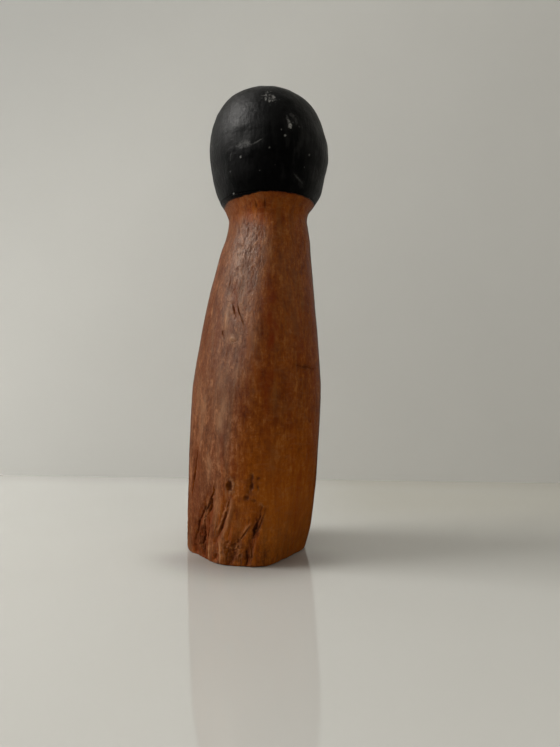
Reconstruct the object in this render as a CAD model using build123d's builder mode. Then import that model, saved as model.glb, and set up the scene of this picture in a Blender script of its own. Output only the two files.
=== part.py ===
from build123d import *
import math
import os

# Hand-carved wooden standing figure: a tapering trunk with a flared neck, a round
# black-painted head seated on the neck, and a round peg glued inside the two.
# Millimetres. +Z is up, the origin is the centre of the base's resting face, and -Y is
# the side that carries the long soft ridge and the drying splits.

# ---------------------------------------------------------------- driving sizes
JOINT_Z = 212.0          # flat joint between neck and head
HEAD_X = 13.4            # the head stands to one side of the base's centre
JOINT_R = 28.8           # radius of neck flare and head at the joint
HEAD_TOP = 280.0         # overall height
PAINT = 0.35             # thickness of the paint coat
DOWEL_R = 6.0            # the peg is cut to suit its bores, it isn't a stock size
DOWEL_LENGTH = 50.0
DOWEL_BEVEL = 1.2
FLUTE_R = 0.7            # glue grooves along the peg
FLUTE_COUNT = 4
BORE_R = 6.05            # glue room around the peg
BORE_DEPTH = 26.0        # glue room past each end of the peg
MOUTH_BEVEL = 0.8
FOOT_ROUND = 1.8         # worn edge around the foot

# Trunk stations: height, centre in X, centre in Y, half width in X, half depth in Y, and how
# squared the section is (0 is an ellipse). The centre line leans towards +X as it rises.
STATIONS = [
    (0.0, 0.0, 0.0, 36.3, 35.8, 0.052),
    (13.0, 1.1, 0.0, 37.6, 36.6, 0.050),
    (28.0, 2.3, 0.1, 38.5, 37.3, 0.048),
    (46.0, 3.5, 0.2, 39.1, 37.7, 0.046),
    (65.0, 4.3, 0.3, 39.5, 38.0, 0.044),
    (84.0, 5.3, 0.3, 39.65, 38.0, 0.042),
    (98.0, 5.95, 0.3, 39.5, 37.7, 0.040),
    (112.0, 6.65, 0.2, 38.2, 36.8, 0.038),
    (131.0, 7.7, 0.1, 35.85, 34.9, 0.036),
    (150.0, 8.85, 0.0, 33.2, 32.6, 0.034),
    (168.0, 10.3, 0.0, 30.1, 29.8, 0.030),
    (183.0, 11.75, 0.0, 27.4, 27.4, 0.024),
    (194.0, 13.05, 0.0, 25.1, 25.2, 0.016),
    (201.5, 13.3, 0.0, 23.95, 24.0, 0.010),
    (206.0, 13.3, 0.0, 25.0, 25.0, 0.006),
    (212.0, HEAD_X, 0.0, JOINT_R, JOINT_R, 0.0),
]
SQUARE_TURN = 11.0       # the section's soft corners stand at 11, 101, 191 and 281 degrees
SECTION_POINTS = 16

# Head profile, outside of the paint: radius about the head's axis, height.
HEAD_PROFILE = [
    (28.8, 212.0),
    (32.1, 219.0),
    (34.5, 228.0),
    (36.2, 237.0),
    (36.4, 245.0),
    (34.9, 254.0),
    (32.0, 262.8),
    (27.7, 269.8),
    (20.6, 275.6),
    (11.0, 279.0),
    (0.0, HEAD_TOP),
]

# Drying splits and knife slips: direction around the trunk in degrees, height, length,
# width, depth, and lean of the top towards +X side in degrees.
SPLITS = [
    (205.0, 52.0, 24.0, 1.0, 1.8, 8.0),
    (238.0, 32.0, 26.0, 1.6, 2.2, 14.0),
    (224.0, 22.0, 26.0, 1.4, 2.4, 7.0),
    (252.0, 26.0, 22.0, 1.4, 2.0, 15.0),
    (279.0, 20.0, 20.0, 1.7, 2.3, 14.0),
    (285.0, 22.0, 13.0, 0.9, 1.2, 8.0),
    (262.0, 8.0, 14.0, 1.0, 1.4, 20.0),
    (250.0, 147.0, 14.0, 0.9, 1.1, -10.0),
    (241.0, 150.0, 9.0, 0.8, 0.9, -14.0),
    (60.0, 24.0, 30.0, 1.2, 2.0, -5.0),
    (96.0, 70.0, 40.0, 1.0, 1.8, 3.0),
    (132.0, 18.0, 24.0, 1.3, 2.0, 8.0),
]
# Knot pits: direction, height, radius of the scoop, depth.
PITS = [
    (254.0, 36.0, 2.4, 1.6),
    (268.5, 29.0, 1.7, 1.1),
    (271.0, 44.0, 1.9, 1.0),
    (110.0, 118.0, 2.2, 1.3),
]


def station_at(z):
    """The trunk's centre, half sizes and squareness at a height, between two stations."""
    low = max(s for s in STATIONS if s[0] <= z)
    high = min(s for s in STATIONS if s[0] >= z)
    t = 0.0 if high[0] == low[0] else (z - low[0]) / (high[0] - low[0])
    return [a + (b - a) * t for a, b in zip(low, high)]


def section_points(station, count):
    """Points round one section, squared softly towards its four corners."""
    _, cx, cy, half_x, half_y, square = station
    raw = []
    for i in range(count):
        a = 2 * math.pi * i / count
        r = 1 + square * math.cos(4 * (a - math.radians(SQUARE_TURN)))
        raw.append((r * math.cos(a), r * math.sin(a)))
    reach_x = max(abs(x) for x, _ in raw)
    reach_y = max(abs(y) for _, y in raw)
    return [(cx + half_x * x / reach_x, cy + half_y * y / reach_y) for x, y in raw]


def skin_point(turn, z):
    """A point on the trunk's skin in a direction from its centre line, and that direction."""
    station = station_at(z)
    _, cx, cy, half_x, half_y, square = station
    a = math.radians(turn)
    r = (1 + square * math.cos(4 * (a - math.radians(SQUARE_TURN)))) / (1 + square)
    point = Vector(cx + half_x * r * math.cos(a), cy + half_y * r * math.sin(a), z)
    return point, Vector(math.cos(a), math.sin(a), 0)


# ---------------------------------------------------------------- trunk
with BuildPart() as body:
    for station in STATIONS:
        with BuildSketch(Plane.XY.offset(station[0])):
            with BuildLine():
                Spline(*section_points(station, SECTION_POINTS), periodic=True)
            make_face()
    loft()
    foot_edges = body.edges().group_by(Axis.Z)[0]
    fillet(foot_edges, radius=FOOT_ROUND)
    # blind bore for the peg, with an eased mouth
    with Locations((HEAD_X, 0, JOINT_Z)):
        CounterSinkHole(
            radius=BORE_R,
            counter_sink_radius=BORE_R + MOUTH_BEVEL,
            depth=BORE_DEPTH,
            counter_sink_angle=90,
        )
    # each split is the cut of a thin wheel that bites a little way into the skin
    for turn, z, length, width, depth, lean in SPLITS:
        point, out = skin_point(turn, z)
        side = Vector(0, 0, 1).cross(out)
        sign = 1 if side.X >= 0 else -1
        tilt = math.radians(lean) * sign
        along = Vector(0, 0, 1) * math.cos(tilt) + side * math.sin(tilt)
        wheel_r = (length * length / 4 + depth * depth) / (2 * depth)
        wheel = Plane(
            origin=point + out * (wheel_r - depth), x_dir=out, z_dir=out.cross(along)
        )
        with Locations(wheel):
            Cylinder(radius=wheel_r, height=width, mode=Mode.SUBTRACT)
    for turn, z, scoop, depth in PITS:
        point, out = skin_point(turn, z)
        with Locations(point + out * (scoop - depth)):
            Sphere(radius=scoop, mode=Mode.SUBTRACT)
body.part.label = "body"

# ---------------------------------------------------------------- head and its paint
head_axis = Axis((HEAD_X, 0, 0), (0, 0, 1))


def inset_profile(profile, amount):
    """The profile moved inwards along its normals, kept on the joint plane and the axis."""
    moved = []
    for i, (r, z) in enumerate(profile):
        r0, z0 = profile[max(i - 1, 0)]
        r1, z1 = profile[min(i + 1, len(profile) - 1)]
        size = math.hypot(r1 - r0, z1 - z0)
        normal_r, normal_z = (z1 - z0) / size, -(r1 - r0) / size
        moved.append((r - amount * normal_r, z - amount * normal_z))
    moved[0] = (profile[0][0] - amount, profile[0][1])
    moved[-1] = (0.0, profile[-1][1] - amount)
    return moved


def on_axis(profile):
    return [(HEAD_X + r, z) for r, z in profile]


outer = on_axis(HEAD_PROFILE)
inner = on_axis(inset_profile(HEAD_PROFILE, PAINT))
joint_on_axis = (HEAD_X, JOINT_Z)
LEVEL = (-1, 0)          # every profile meets the axis square to it

with BuildPart() as head:
    with BuildSketch(Plane.XZ):
        with BuildLine():
            Spline(*inner, tangents=[(0.42, 1), LEVEL])
            Line(inner[-1], joint_on_axis)
            Line(joint_on_axis, inner[0])
        make_face()
    revolve(axis=head_axis)
    # blind bore for the peg, opening downwards onto the joint
    with Locations(Plane(origin=(HEAD_X, 0, JOINT_Z), z_dir=(0, 0, -1))):
        CounterSinkHole(
            radius=BORE_R,
            counter_sink_radius=BORE_R + MOUTH_BEVEL,
            depth=BORE_DEPTH,
            counter_sink_angle=90,
        )
head.part.label = "head"

with BuildPart() as paint_coat:
    with BuildSketch(Plane.XZ):
        with BuildLine():
            Spline(*outer, tangents=[(0.42, 1), LEVEL])
            Line(outer[-1], inner[-1])
            Spline(*inner, tangents=[(0.42, 1), LEVEL])
            Line(inner[0], outer[0])
        make_face()
    revolve(axis=head_axis)
paint_coat.part.label = "paint_coat"

# ---------------------------------------------------------------- peg
with BuildPart() as neck_dowel:
    with BuildSketch(Plane.XY.offset(JOINT_Z - DOWEL_LENGTH / 2)):
        with Locations((HEAD_X, 0)):
            Circle(DOWEL_R)
            with PolarLocations(DOWEL_R, FLUTE_COUNT):
                Circle(FLUTE_R, mode=Mode.SUBTRACT)
    extrude(amount=DOWEL_LENGTH)
    with BuildSketch(Plane.XZ):
        with BuildLine():
            half = DOWEL_LENGTH / 2
            Polyline(
                (HEAD_X, JOINT_Z - half),
                (HEAD_X + DOWEL_R - DOWEL_BEVEL, JOINT_Z - half),
                (HEAD_X + DOWEL_R, JOINT_Z - half + DOWEL_BEVEL),
                (HEAD_X + DOWEL_R, JOINT_Z + half - DOWEL_BEVEL),
                (HEAD_X + DOWEL_R - DOWEL_BEVEL, JOINT_Z + half),
                (HEAD_X, JOINT_Z + half),
                close=True,
            )
        make_face()
    revolve(axis=head_axis, mode=Mode.INTERSECT)
neck_dowel.part.label = "neck_dowel"

# ---------------------------------------------------------------- files
os.makedirs("parts", exist_ok=True)
for piece in (body, head, paint_coat, neck_dowel):
    export_step(piece.part, f"parts/{piece.part.label}.step")
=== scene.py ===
"""Looks of the carved wooden peg figure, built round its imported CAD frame.

The trunk, the head and its paint are rebuilt as dense closed meshes with the facets, splits, pits and chips in the
geometry itself. The hidden peg stays as packed and gets its own wood. Everything is computed, with fixed seeds.
"""

import math

import bpy
import numpy as np
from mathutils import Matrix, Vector


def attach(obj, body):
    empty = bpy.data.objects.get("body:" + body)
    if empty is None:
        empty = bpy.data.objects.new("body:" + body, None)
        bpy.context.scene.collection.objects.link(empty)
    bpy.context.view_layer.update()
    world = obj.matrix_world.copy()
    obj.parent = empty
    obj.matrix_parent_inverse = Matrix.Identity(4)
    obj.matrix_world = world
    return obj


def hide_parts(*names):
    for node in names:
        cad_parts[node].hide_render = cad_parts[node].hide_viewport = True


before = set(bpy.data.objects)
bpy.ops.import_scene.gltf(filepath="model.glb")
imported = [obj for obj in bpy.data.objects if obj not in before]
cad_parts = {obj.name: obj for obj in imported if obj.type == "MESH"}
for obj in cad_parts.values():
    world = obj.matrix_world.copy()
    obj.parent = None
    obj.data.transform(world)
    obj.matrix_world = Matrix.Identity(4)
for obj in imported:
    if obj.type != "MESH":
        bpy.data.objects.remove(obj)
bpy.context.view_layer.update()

# ------------------------------------------------------------------ shape of the carving (millimetres)
JOINT_Z = 212.0
HEAD_TOP = 280.0
PAINT = 0.35


def hermite(xs, ys, x):
    """Monotone cubic through the points, so that no bulge appears between two stations."""
    xs, ys, x = np.asarray(xs, float), np.asarray(ys, float), np.asarray(x, float)
    h = np.diff(xs)
    d = np.diff(ys) / h
    m = np.zeros_like(ys)
    m[1:-1] = np.where(
        d[:-1] * d[1:] > 0,
        (h[:-1] + h[1:]) * 3
        / ((2 * h[1:] + h[:-1]) / np.where(d[:-1] == 0, 1, d[:-1])
           + (h[1:] + 2 * h[:-1]) / np.where(d[1:] == 0, 1, d[1:])),
        0,
    )
    m[0], m[-1] = d[0], d[-1]
    i = np.clip(np.searchsorted(xs, x, side="right") - 1, 0, len(h) - 1)
    t = (x - xs[i]) / h[i]
    t = np.clip(t, 0, 1)
    return (
        ys[i] * (2 * t**3 - 3 * t**2 + 1)
        + h[i] * m[i] * (t**3 - 2 * t**2 + t)
        + ys[i + 1] * (3 * t**2 - 2 * t**3)
        + h[i] * m[i + 1] * (t**3 - t**2)
    )


# height, centre in X, half width in X
TRUNK = np.array([
    (0.0, 0.0, 36.2), (5.8, 0.70, 37.06), (13.2, 1.62, 37.94), (20.6, 2.19, 38.55),
    (28.0, 2.74, 38.87), (42.7, 3.61, 39.48), (57.4, 4.02, 39.80), (72.1, 4.69, 39.86),
    (86.8, 5.50, 39.89), (97.8, 6.12, 39.68), (108.9, 6.79, 38.77), (123.6, 7.95, 36.95),
    (138.3, 8.83, 34.98), (153.1, 9.62, 32.77), (168.0, 10.79, 30.07), (182.8, 12.21, 27.48),
    (190.3, 13.27, 25.96), (197.8, 13.50, 24.60), (201.5, 13.38, 24.15), (207.1, 13.15, 25.70),
    (212.0, 13.4, 28.8),
])
# height, centre in Y, depth over width, direction of the front ridge, squareness
TRUNK_Y = np.array([
    (0.0, 0.0, 0.985, -79.0, 0.050), (20.0, 0.2, 0.975, -82.0, 0.048), (42.0, 0.5, 0.965, -90.0, 0.044), (62.0, 0.8, 0.96, -98.0, 0.042),
    (95.0, 0.9, 0.955, -98.0, 0.042), (150.0, 0.3, 0.98, -94.0, 0.042), (185.0, -0.2, 1.0, -95.0, 0.032), (203.0, 0.0, 1.0, -96.0, 0.012),
    (212.0, 0.0, 1.0, -96.0, 0.0),
])
# the broad planed face left of the ridge: height, its distance from the centre over the half width, its direction
FACE = np.array([
    (0.0, 1.15, -132.0), (30.0, 1.10, -132.0), (60.0, 1.01, -130.0), (90.0, 0.955, -126.0), (120.0, 0.925, -119.0), (145.0, 0.920, -114.0),
    (165.0, 0.925, -111.5), (183.0, 0.935, -112.0), (194.0, 0.97, -115.0), (200.0, 1.05, -118.0), (206.0, 1.25, -120.0), (212.0, 1.40, -120.0),
])
# the foot's outline: direction in degrees, reach from the foot's centre
FOOT = np.array([
    (-180.0, 36.4), (-170.4, 35.3), (-160.6, 33.6), (-152.1, 31.6), (-144.2, 31.5), (-132.7, 32.0),
    (-119.5, 33.4), (-108.8, 34.5), (-96.0, 34.3), (-85.6, 35.6), (-78.8, 36.7), (-69.9, 36.6),
    (-57.2, 34.3), (-42.9, 32.0), (-24.1, 32.2), (-9.8, 34.6), (2.0, 36.3), (14.0, 36.1),
    (30.0, 33.6), (47.0, 32.4), (64.0, 33.1), (82.0, 35.2), (97.0, 36.4), (112.0, 35.3),
    (128.0, 33.0), (143.0, 32.3), (158.0, 33.9), (171.0, 36.0), (180.0, 36.4),
])

FOOT_RING = np.vstack([FOOT[-4:-1] - [360, 0], FOOT, FOOT[1:4] + [360, 0]])


def smooth(t):
    t = np.clip(t, 0, 1)
    return t * t * (3 - 2 * t)


def section(theta, z):
    """Reach of the trunk from its centre line in a direction, before any carving marks, with x and y of the centre."""
    xc = hermite(TRUNK[:, 0], TRUNK[:, 1], z)
    half = hermite(TRUNK[:, 0], TRUNK[:, 2], z)
    yc = hermite(TRUNK_Y[:, 0], TRUNK_Y[:, 1], z)
    deep = hermite(TRUNK_Y[:, 0], TRUNK_Y[:, 2], z)
    ridge = np.radians(hermite(TRUNK_Y[:, 0], TRUNK_Y[:, 3], z))
    square = hermite(TRUNK_Y[:, 0], TRUNK_Y[:, 4], z)
    lobes = 1 + square * np.cos(4 * (theta - ridge)) + 0.25 * square * np.cos(3 * theta + 0.8 + z / 90)
    reach_x = 1 + square * np.abs(np.cos(4 * ridge))
    above = half * lobes / reach_x
    above = above * np.sqrt(np.cos(theta) ** 2 + (deep * np.sin(theta)) ** 2)
    face = np.radians(hermite(FACE[:, 0], FACE[:, 2], z))
    plane = half * hermite(FACE[:, 0], FACE[:, 1], z) / np.maximum(np.cos(theta - face), 0.25)
    soft = 1.7
    above = -soft * np.logaddexp(-above / soft, -plane / soft)
    wrapped = np.degrees((theta + np.pi) % (2 * np.pi) - np.pi)
    foot = hermite(FOOT_RING[:, 0], FOOT_RING[:, 1], wrapped) * half / 36.3
    share = smooth(1 - z / 46.0)
    return above * (1 - share) + foot * share, xc, yc


# height, centre in X, radius of the head with its paint
HEAD = np.array([
    (212.0, 13.3, 28.85), (215.5, 13.7, 30.6), (219.2, 13.95, 32.17), (227.9, 13.85, 34.45),
    (236.6, 13.97, 36.20), (241.0, 14.02, 36.50), (245.3, 13.95, 36.42), (254.0, 13.45, 34.90), (262.7, 13.24, 32.06),
    (269.7, 13.12, 27.86), (275.2, 13.1, 21.3), (278.6, 13.1, 12.6), (280.0, 13.1, 0.0),
])

# ------------------------------------------------------------------ noise
def lattice(ix, iy, iz, seed):
    h = (ix * 374761393 + iy * 668265263 + iz * 1442695041 + seed * 974634777) & 0xFFFFFFFF
    h = ((h ^ (h >> 13)) * 1274126177) & 0xFFFFFFFF
    return ((h ^ (h >> 16)) & 0xFFFFFF) / 8388607.5 - 1.0


def noise(x, y, z, seed=0):
    """Smooth noise between -1 and 1 at the points."""
    x, y, z = np.broadcast_arrays(x, y, z)
    fx, fy, fz = np.floor(x), np.floor(y), np.floor(z)
    ix, iy, iz = fx.astype(np.int64), fy.astype(np.int64), fz.astype(np.int64)
    tx, ty, tz = x - fx, y - fy, z - fz
    tx, ty, tz = (t * t * t * (t * (6 * t - 15) + 10) for t in (tx, ty, tz))
    out = 0.0
    for dx in (0, 1):
        for dy in (0, 1):
            for dz in (0, 1):
                w = (tx if dx else 1 - tx) * (ty if dy else 1 - ty) * (tz if dz else 1 - tz)
                out = out + w * lattice(ix + dx, iy + dy, iz + dz, seed)
    return out


def fbm(x, y, z, octaves, seed=0, gain=0.5):
    total, size, weight = 0.0, 1.0, 0.0
    for i in range(octaves):
        f = 2.03**i
        total = total + size * noise(x * f, y * f, z * f, seed + 17 * i)
        weight += size
        size *= gain
    return total / weight


def cells(x, y, z, seed):
    """Distance to the nearest of one scattered point per unit cell, about 0 to 1."""
    fx, fy, fz = np.floor(x), np.floor(y), np.floor(z)
    best = np.full(np.shape(x), 9.0)
    for dx in (-1, 0, 1):
        for dy in (-1, 0, 1):
            for dz in (-1, 0, 1):
                ix, iy, iz = (fx + dx).astype(np.int64), (fy + dy).astype(np.int64), (fz + dz).astype(np.int64)
                px = ix + 0.5 + 0.4 * lattice(ix, iy, iz, seed)
                py = iy + 0.5 + 0.4 * lattice(ix, iy, iz, seed + 1)
                pz = iz + 0.5 + 0.4 * lattice(ix, iy, iz, seed + 2)
                best = np.minimum(best, (x - px) ** 2 + (y - py) ** 2 + (z - pz) ** 2)
    return np.sqrt(best)


def spaced(low, high, pitch):
    """Positions from low to high whose spacing follows pitch(position)."""
    fine = np.linspace(low, high, 20001)
    density = 1 / pitch(fine)
    total = np.concatenate([[0], np.cumsum((density[1:] + density[:-1]) / 2 * np.diff(fine))])
    return np.interp(np.linspace(0, total[-1], int(round(total[-1])) + 1), total, fine)


# ------------------------------------------------------------------ marks on the trunk
UNROLL = 36.5  # the radius at which the trunk is unrolled to flat millimetres

# drying splits and knife slips: path of (direction, height), width, depth, raised lip on the far side, how ragged
CUTS = [
    ([(-149.0, 64.0), (-149.8, 61.0), (-151.2, 57.5), (-153.9, 50.8), (-156.3, 42.3), (-158.5, 33.7)], 1.9, 2.3, 0.12, 0.22),
    ([(-160.6, 78.5), (-160.8, 70.0), (-161.2, 62.0), (-161.8, 53.0)], 1.2, 1.3, 0.0, 0.35),
    ([(-163.0, 37.0), (-163.6, 28.0)], 1.9, 1.1, 0.0, 0.3),
    ([(-123.6, 45.5), (-124.6, 41.5), (-126.4, 36.5), (-128.6, 31.5), (-130.6, 27.0)], 3.0, 2.3, 0.20, 0.70),
    ([(-127.6, 38.0), (-130.8, 34.0), (-134.2, 29.5), (-137.6, 24.0)], 3.4, 2.4, 0.25, 0.80),
    ([(-131.0, 36.5), (-136.0, 31.0), (-142.0, 25.4), (-149.0, 19.6), (-155.0, 13.0), (-158.0, 7.0)], 1.7, 1.4, 0.20, 0.90),
    ([(-137.4, 25.0), (-138.8, 19.0), (-140.4, 13.5), (-142.4, 7.5), (-143.0, 3.0)], 3.2, 2.6, 0.20, 0.80),
    ([(-130.6, 26.5), (-131.6, 20.0), (-132.6, 13.0), (-133.8, 7.0)], 1.5, 1.3, 0.12, 0.80),
    ([(-147.4, 23.0), (-148.8, 16.0), (-150.0, 9.0), (-149.4, 1.0)], 3.0, 2.5, 0.15, 0.90),
    ([(-136.4, 12.0), (-137.4, 6.0), (-137.0, 1.0)], 1.7, 1.2, 0.10, 0.80),
    ([(-106.2, 38.5), (-107.2, 34.0), (-108.6, 29.5), (-110.8, 25.0), (-113.6, 20.4), (-117.0, 15.5)], 3.5, 1.25, 0.60, 0.45),
    ([(-117.0, 30.0), (-119.0, 23.0), (-121.6, 15.0)], 1.3, 0.6, 0.10, 0.7),
    ([(-80.2, 27.5), (-81.4, 23.6), (-82.8, 20.0), (-84.4, 16.0)], 3.3, 2.2, 0.25, 0.70),
    ([(-77.6, 36.2), (-78.4, 32.0), (-79.6, 28.0), (-81.2, 24.0)], 1.3, 1.0, 0.20, 0.70),
    ([(-75.2, 34.0), (-76.2, 29.5), (-78.0, 25.0), (-80.4, 20.0)], 1.2, 0.9, 0.15, 0.70),
    ([(-87.6, 23.5), (-89.6, 21.0), (-92.4, 17.8), (-95.6, 14.4)], 1.3, 1.0, 0.25, 0.45),
    ([(-88.2, 11.5), (-87.2, 6.0), (-86.7, 1.0)], 2.0, 1.5, 0.10, 0.50),
    ([(-83.8, 12.0), (-83.4, 8.0), (-83.3, 4.0)], 1.7, 1.0, 0.20, 0.60),
    ([(-104.8, 12.0), (-105.6, 7.0), (-106.0, 1.0)], 1.8, 1.1, 0.10, 0.60),
    ([(-72.4, 11.0), (-72.0, 5.0), (-71.6, 0.5)], 1.3, 0.8, 0.10, 0.4),
    ([(-116.6, 148.6), (-112.4, 143.4), (-108.8, 139.5), (-104.3, 135.0)], 1.35, 1.15, 0.15, 0.15),
    ([(-122.8, 148.2), (-118.9, 144.0), (-115.0, 139.6)], 1.5, 0.9, 0.15, 0.40),
    ([(-132.0, 166.0), (-130.8, 161.5), (-130.2, 156.5)], 1.2, 0.55, 0.08, 0.7),
    ([(-121.6, 162.6), (-119.0, 158.6), (-117.0, 153.6)], 1.2, 0.60, 0.08, 0.7),
    ([(-130.4, 133.0), (-129.4, 130.4), (-126.6, 127.6)], 1.9, 0.7, 0.10, 0.7),
    ([(-120.6, 127.4), (-115.0, 125.6), (-109.6, 126.8)], 1.2, 0.45, 0.20, 0.5),
    ([(-100.6, 76.0), (-97.6, 74.6), (-94.6, 76.0), (-92.6, 78.0)], 0.9, 0.5, 0.12, 0.5),
    ([(-70.0, 74.6), (-64.0, 74.2), (-58.6, 74.4)], 0.7, 0.25, 0.30, 0.4),
    ([(-51.0, 113.2), (-46.0, 112.6), (-40.4, 111.8), (-34.0, 111.2), (-25.0, 110.6)], 1.15, 1.30, 0.30, 0.30),
    ([(-92.0, 208.2), (-92.3, 203.0)], 1.2, 1.3, 0.0, 0.2),
    ([(-104.0, 207.6), (-104.5, 204.0)], 1.1, 1.1, 0.0, 0.2),
    ([(-118.0, 207.4), (-118.6, 204.6)], 1.0, 0.8, 0.0, 0.2),
    ([(-147.6, 22.0), (-146.4, 14.0), (-147.4, 8.0)], 1.4, 1.2, 0.12, 0.9),
    ([(-140.6, 12.0), (-141.6, 6.0), (-141.0, 1.5)], 1.2, 1.1, 0.12, 0.9),
    ([(-128.0, 24.0), (-128.8, 18.0), (-128.2, 12.0)], 1.0, 0.8, 0.10, 0.9),
    ([(-121.5, 126.0), (-120.5, 117.0), (-121.2, 109.0)], 0.7, 0.30, 0.03, 0.4),
    ([(-96.0, 92.0), (-96.8, 82.0), (-97.4, 74.0)], 0.7, 0.30, 0.03, 0.4),
    ([(-63.0, 96.0), (-62.6, 84.0), (-63.4, 70.0)], 0.65, 0.30, 0.03, 0.4),
    # round the right side and the back
    ([(-14.0, 64.0), (-12.6, 50.0), (-14.4, 35.0)], 1.1, 0.9, 0.06, 0.4),
    ([(3.0, 30.0), (5.0, 20.0), (3.6, 9.0), (4.2, 1.0)], 1.9, 1.7, 0.18, 0.4),
    ([(12.0, 124.0), (13.0, 112.0), (11.8, 101.0)], 0.8, 0.5, 0.05, 0.4),
    ([(27.0, 22.0), (25.0, 13.0), (26.0, 3.0)], 1.5, 1.2, 0.12, 0.45),
    ([(46.0, 44.0), (48.6, 34.0), (47.0, 23.0), (49.0, 12.0)], 2.2, 2.1, 0.30, 0.40),
    ([(53.0, 30.0), (54.6, 21.0), (53.6, 13.0)], 1.2, 1.0, 0.12, 0.4),
    ([(63.0, 96.0), (64.4, 84.0), (63.2, 70.0), (64.6, 58.0)], 1.3, 1.3, 0.12, 0.35),
    ([(78.0, 16.0), (80.0, 8.0), (79.0, 1.0)], 2.0, 1.5, 0.15, 0.45),
    ([(92.0, 90.0), (95.0, 77.0), (94.2, 62.0), (96.4, 50.0)], 1.5, 1.7, 0.15, 0.30),
    ([(101.0, 168.0), (102.6, 160.0), (101.8, 152.0)], 0.9, 0.6, 0.06, 0.3),
    ([(112.0, 36.0), (109.4, 26.0), (110.6, 16.0), (108.6, 8.0)], 1.7, 1.6, 0.25, 0.40),
    ([(121.0, 20.0), (119.4, 11.0), (121.0, 2.0)], 1.6, 1.2, 0.12, 0.45),
    ([(134.0, 34.0), (131.6, 24.0), (133.0, 13.0), (131.4, 5.0)], 2.1, 1.9, 0.25, 0.45),
    ([(142.0, 140.0), (143.6, 130.0), (142.4, 121.0)], 0.9, 0.6, 0.06, 0.35),
    ([(152.0, 58.0), (153.8, 46.0), (152.4, 34.0)], 1.3, 1.1, 0.12, 0.35),
    ([(168.0, 25.0), (166.6, 15.0), (168.2, 4.0)], 1.6, 1.4, 0.15, 0.45),
    ([(60.0, 190.0), (61.0, 184.0), (60.0, 178.0)], 0.8, 0.45, 0.05, 0.3),
]
# how far the black paint was brushed down over the neck's edge: direction, millimetres
OVERRUN = [(-180, 3.0), (-163, 2.8), (-153, 2.3), (-147, 1.9), (-132, 1.8), (-121, 1.9), (-110, 1.3), (-98, 0.5), (-85, 0.3), (-60, 0.3), (-14, 0.4),
           (0, 0.5), (25, 1.1), (48, 0.6), (75, 1.5), (100, 1.9), (120, 1.2), (140, 2.0), (160, 2.6), (180, 3.0)]
# broad soft furrows worn along the splits: path, width, depth
FURROWS = [
    ([(-127.0, 42.0), (-132.5, 33.5), (-140.0, 26.5), (-148.5, 19.0), (-154.0, 10.0), (-156.0, 0.0)], 8.5, 1.3),
    ([(-125.0, 38.0), (-128.6, 28.0), (-132.0, 19.0), (-134.5, 8.0), (-135.0, 0.0)], 6.5, 1.2),
    ([(-138.0, 26.0), (-141.0, 13.0), (-142.0, 0.0)], 8.0, 1.9),
    ([(-150.0, 62.0), (-154.0, 50.0), (-157.5, 38.0)], 5.0, 0.8),
    ([(-109.4, 41.0), (-110.6, 31.0), (-113.2, 22.0), (-118.0, 13.0), (-119.5, 3.0)], 7.5, 1.1),
    ([(-96.0, 18.0), (-99.0, 12.0), (-101.0, 6.0), (-101.5, 0.0)], 8.0, 0.9),
    ([(-78.8, 37.0), (-80.2, 28.0), (-83.6, 18.0), (-86.0, 8.0), (-86.0, 0.0)], 6.5, 1.0),
    ([(-88.2, 53.0), (-88.0, 44.0), (-90.5, 37.0)], 5.0, 0.6),
    ([(-129.5, 164.0), (-119.0, 147.0), (-108.5, 134.0)], 9.0, 0.45),
    ([(3.0, 34.0), (4.5, 18.0), (4.0, 0.0)], 6.0, 1.0),
    ([(46.0, 48.0), (48.5, 33.0), (47.5, 20.0), (49.5, 6.0)], 7.0, 1.3),
    ([(79.0, 22.0), (80.0, 10.0), (79.0, 0.0)], 6.0, 1.0),
    ([(93.0, 92.0), (95.0, 74.0), (95.5, 52.0)], 6.5, 0.7),
    ([(111.0, 42.0), (109.5, 28.0), (110.0, 12.0), (108.5, 0.0)], 6.5, 1.2),
    ([(133.5, 38.0), (131.5, 24.0), (132.5, 8.0), (131.5, 0.0)], 6.5, 1.2),
    ([(167.5, 28.0), (166.5, 14.0), (168.0, 0.0)], 5.5, 0.9),
]
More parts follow.
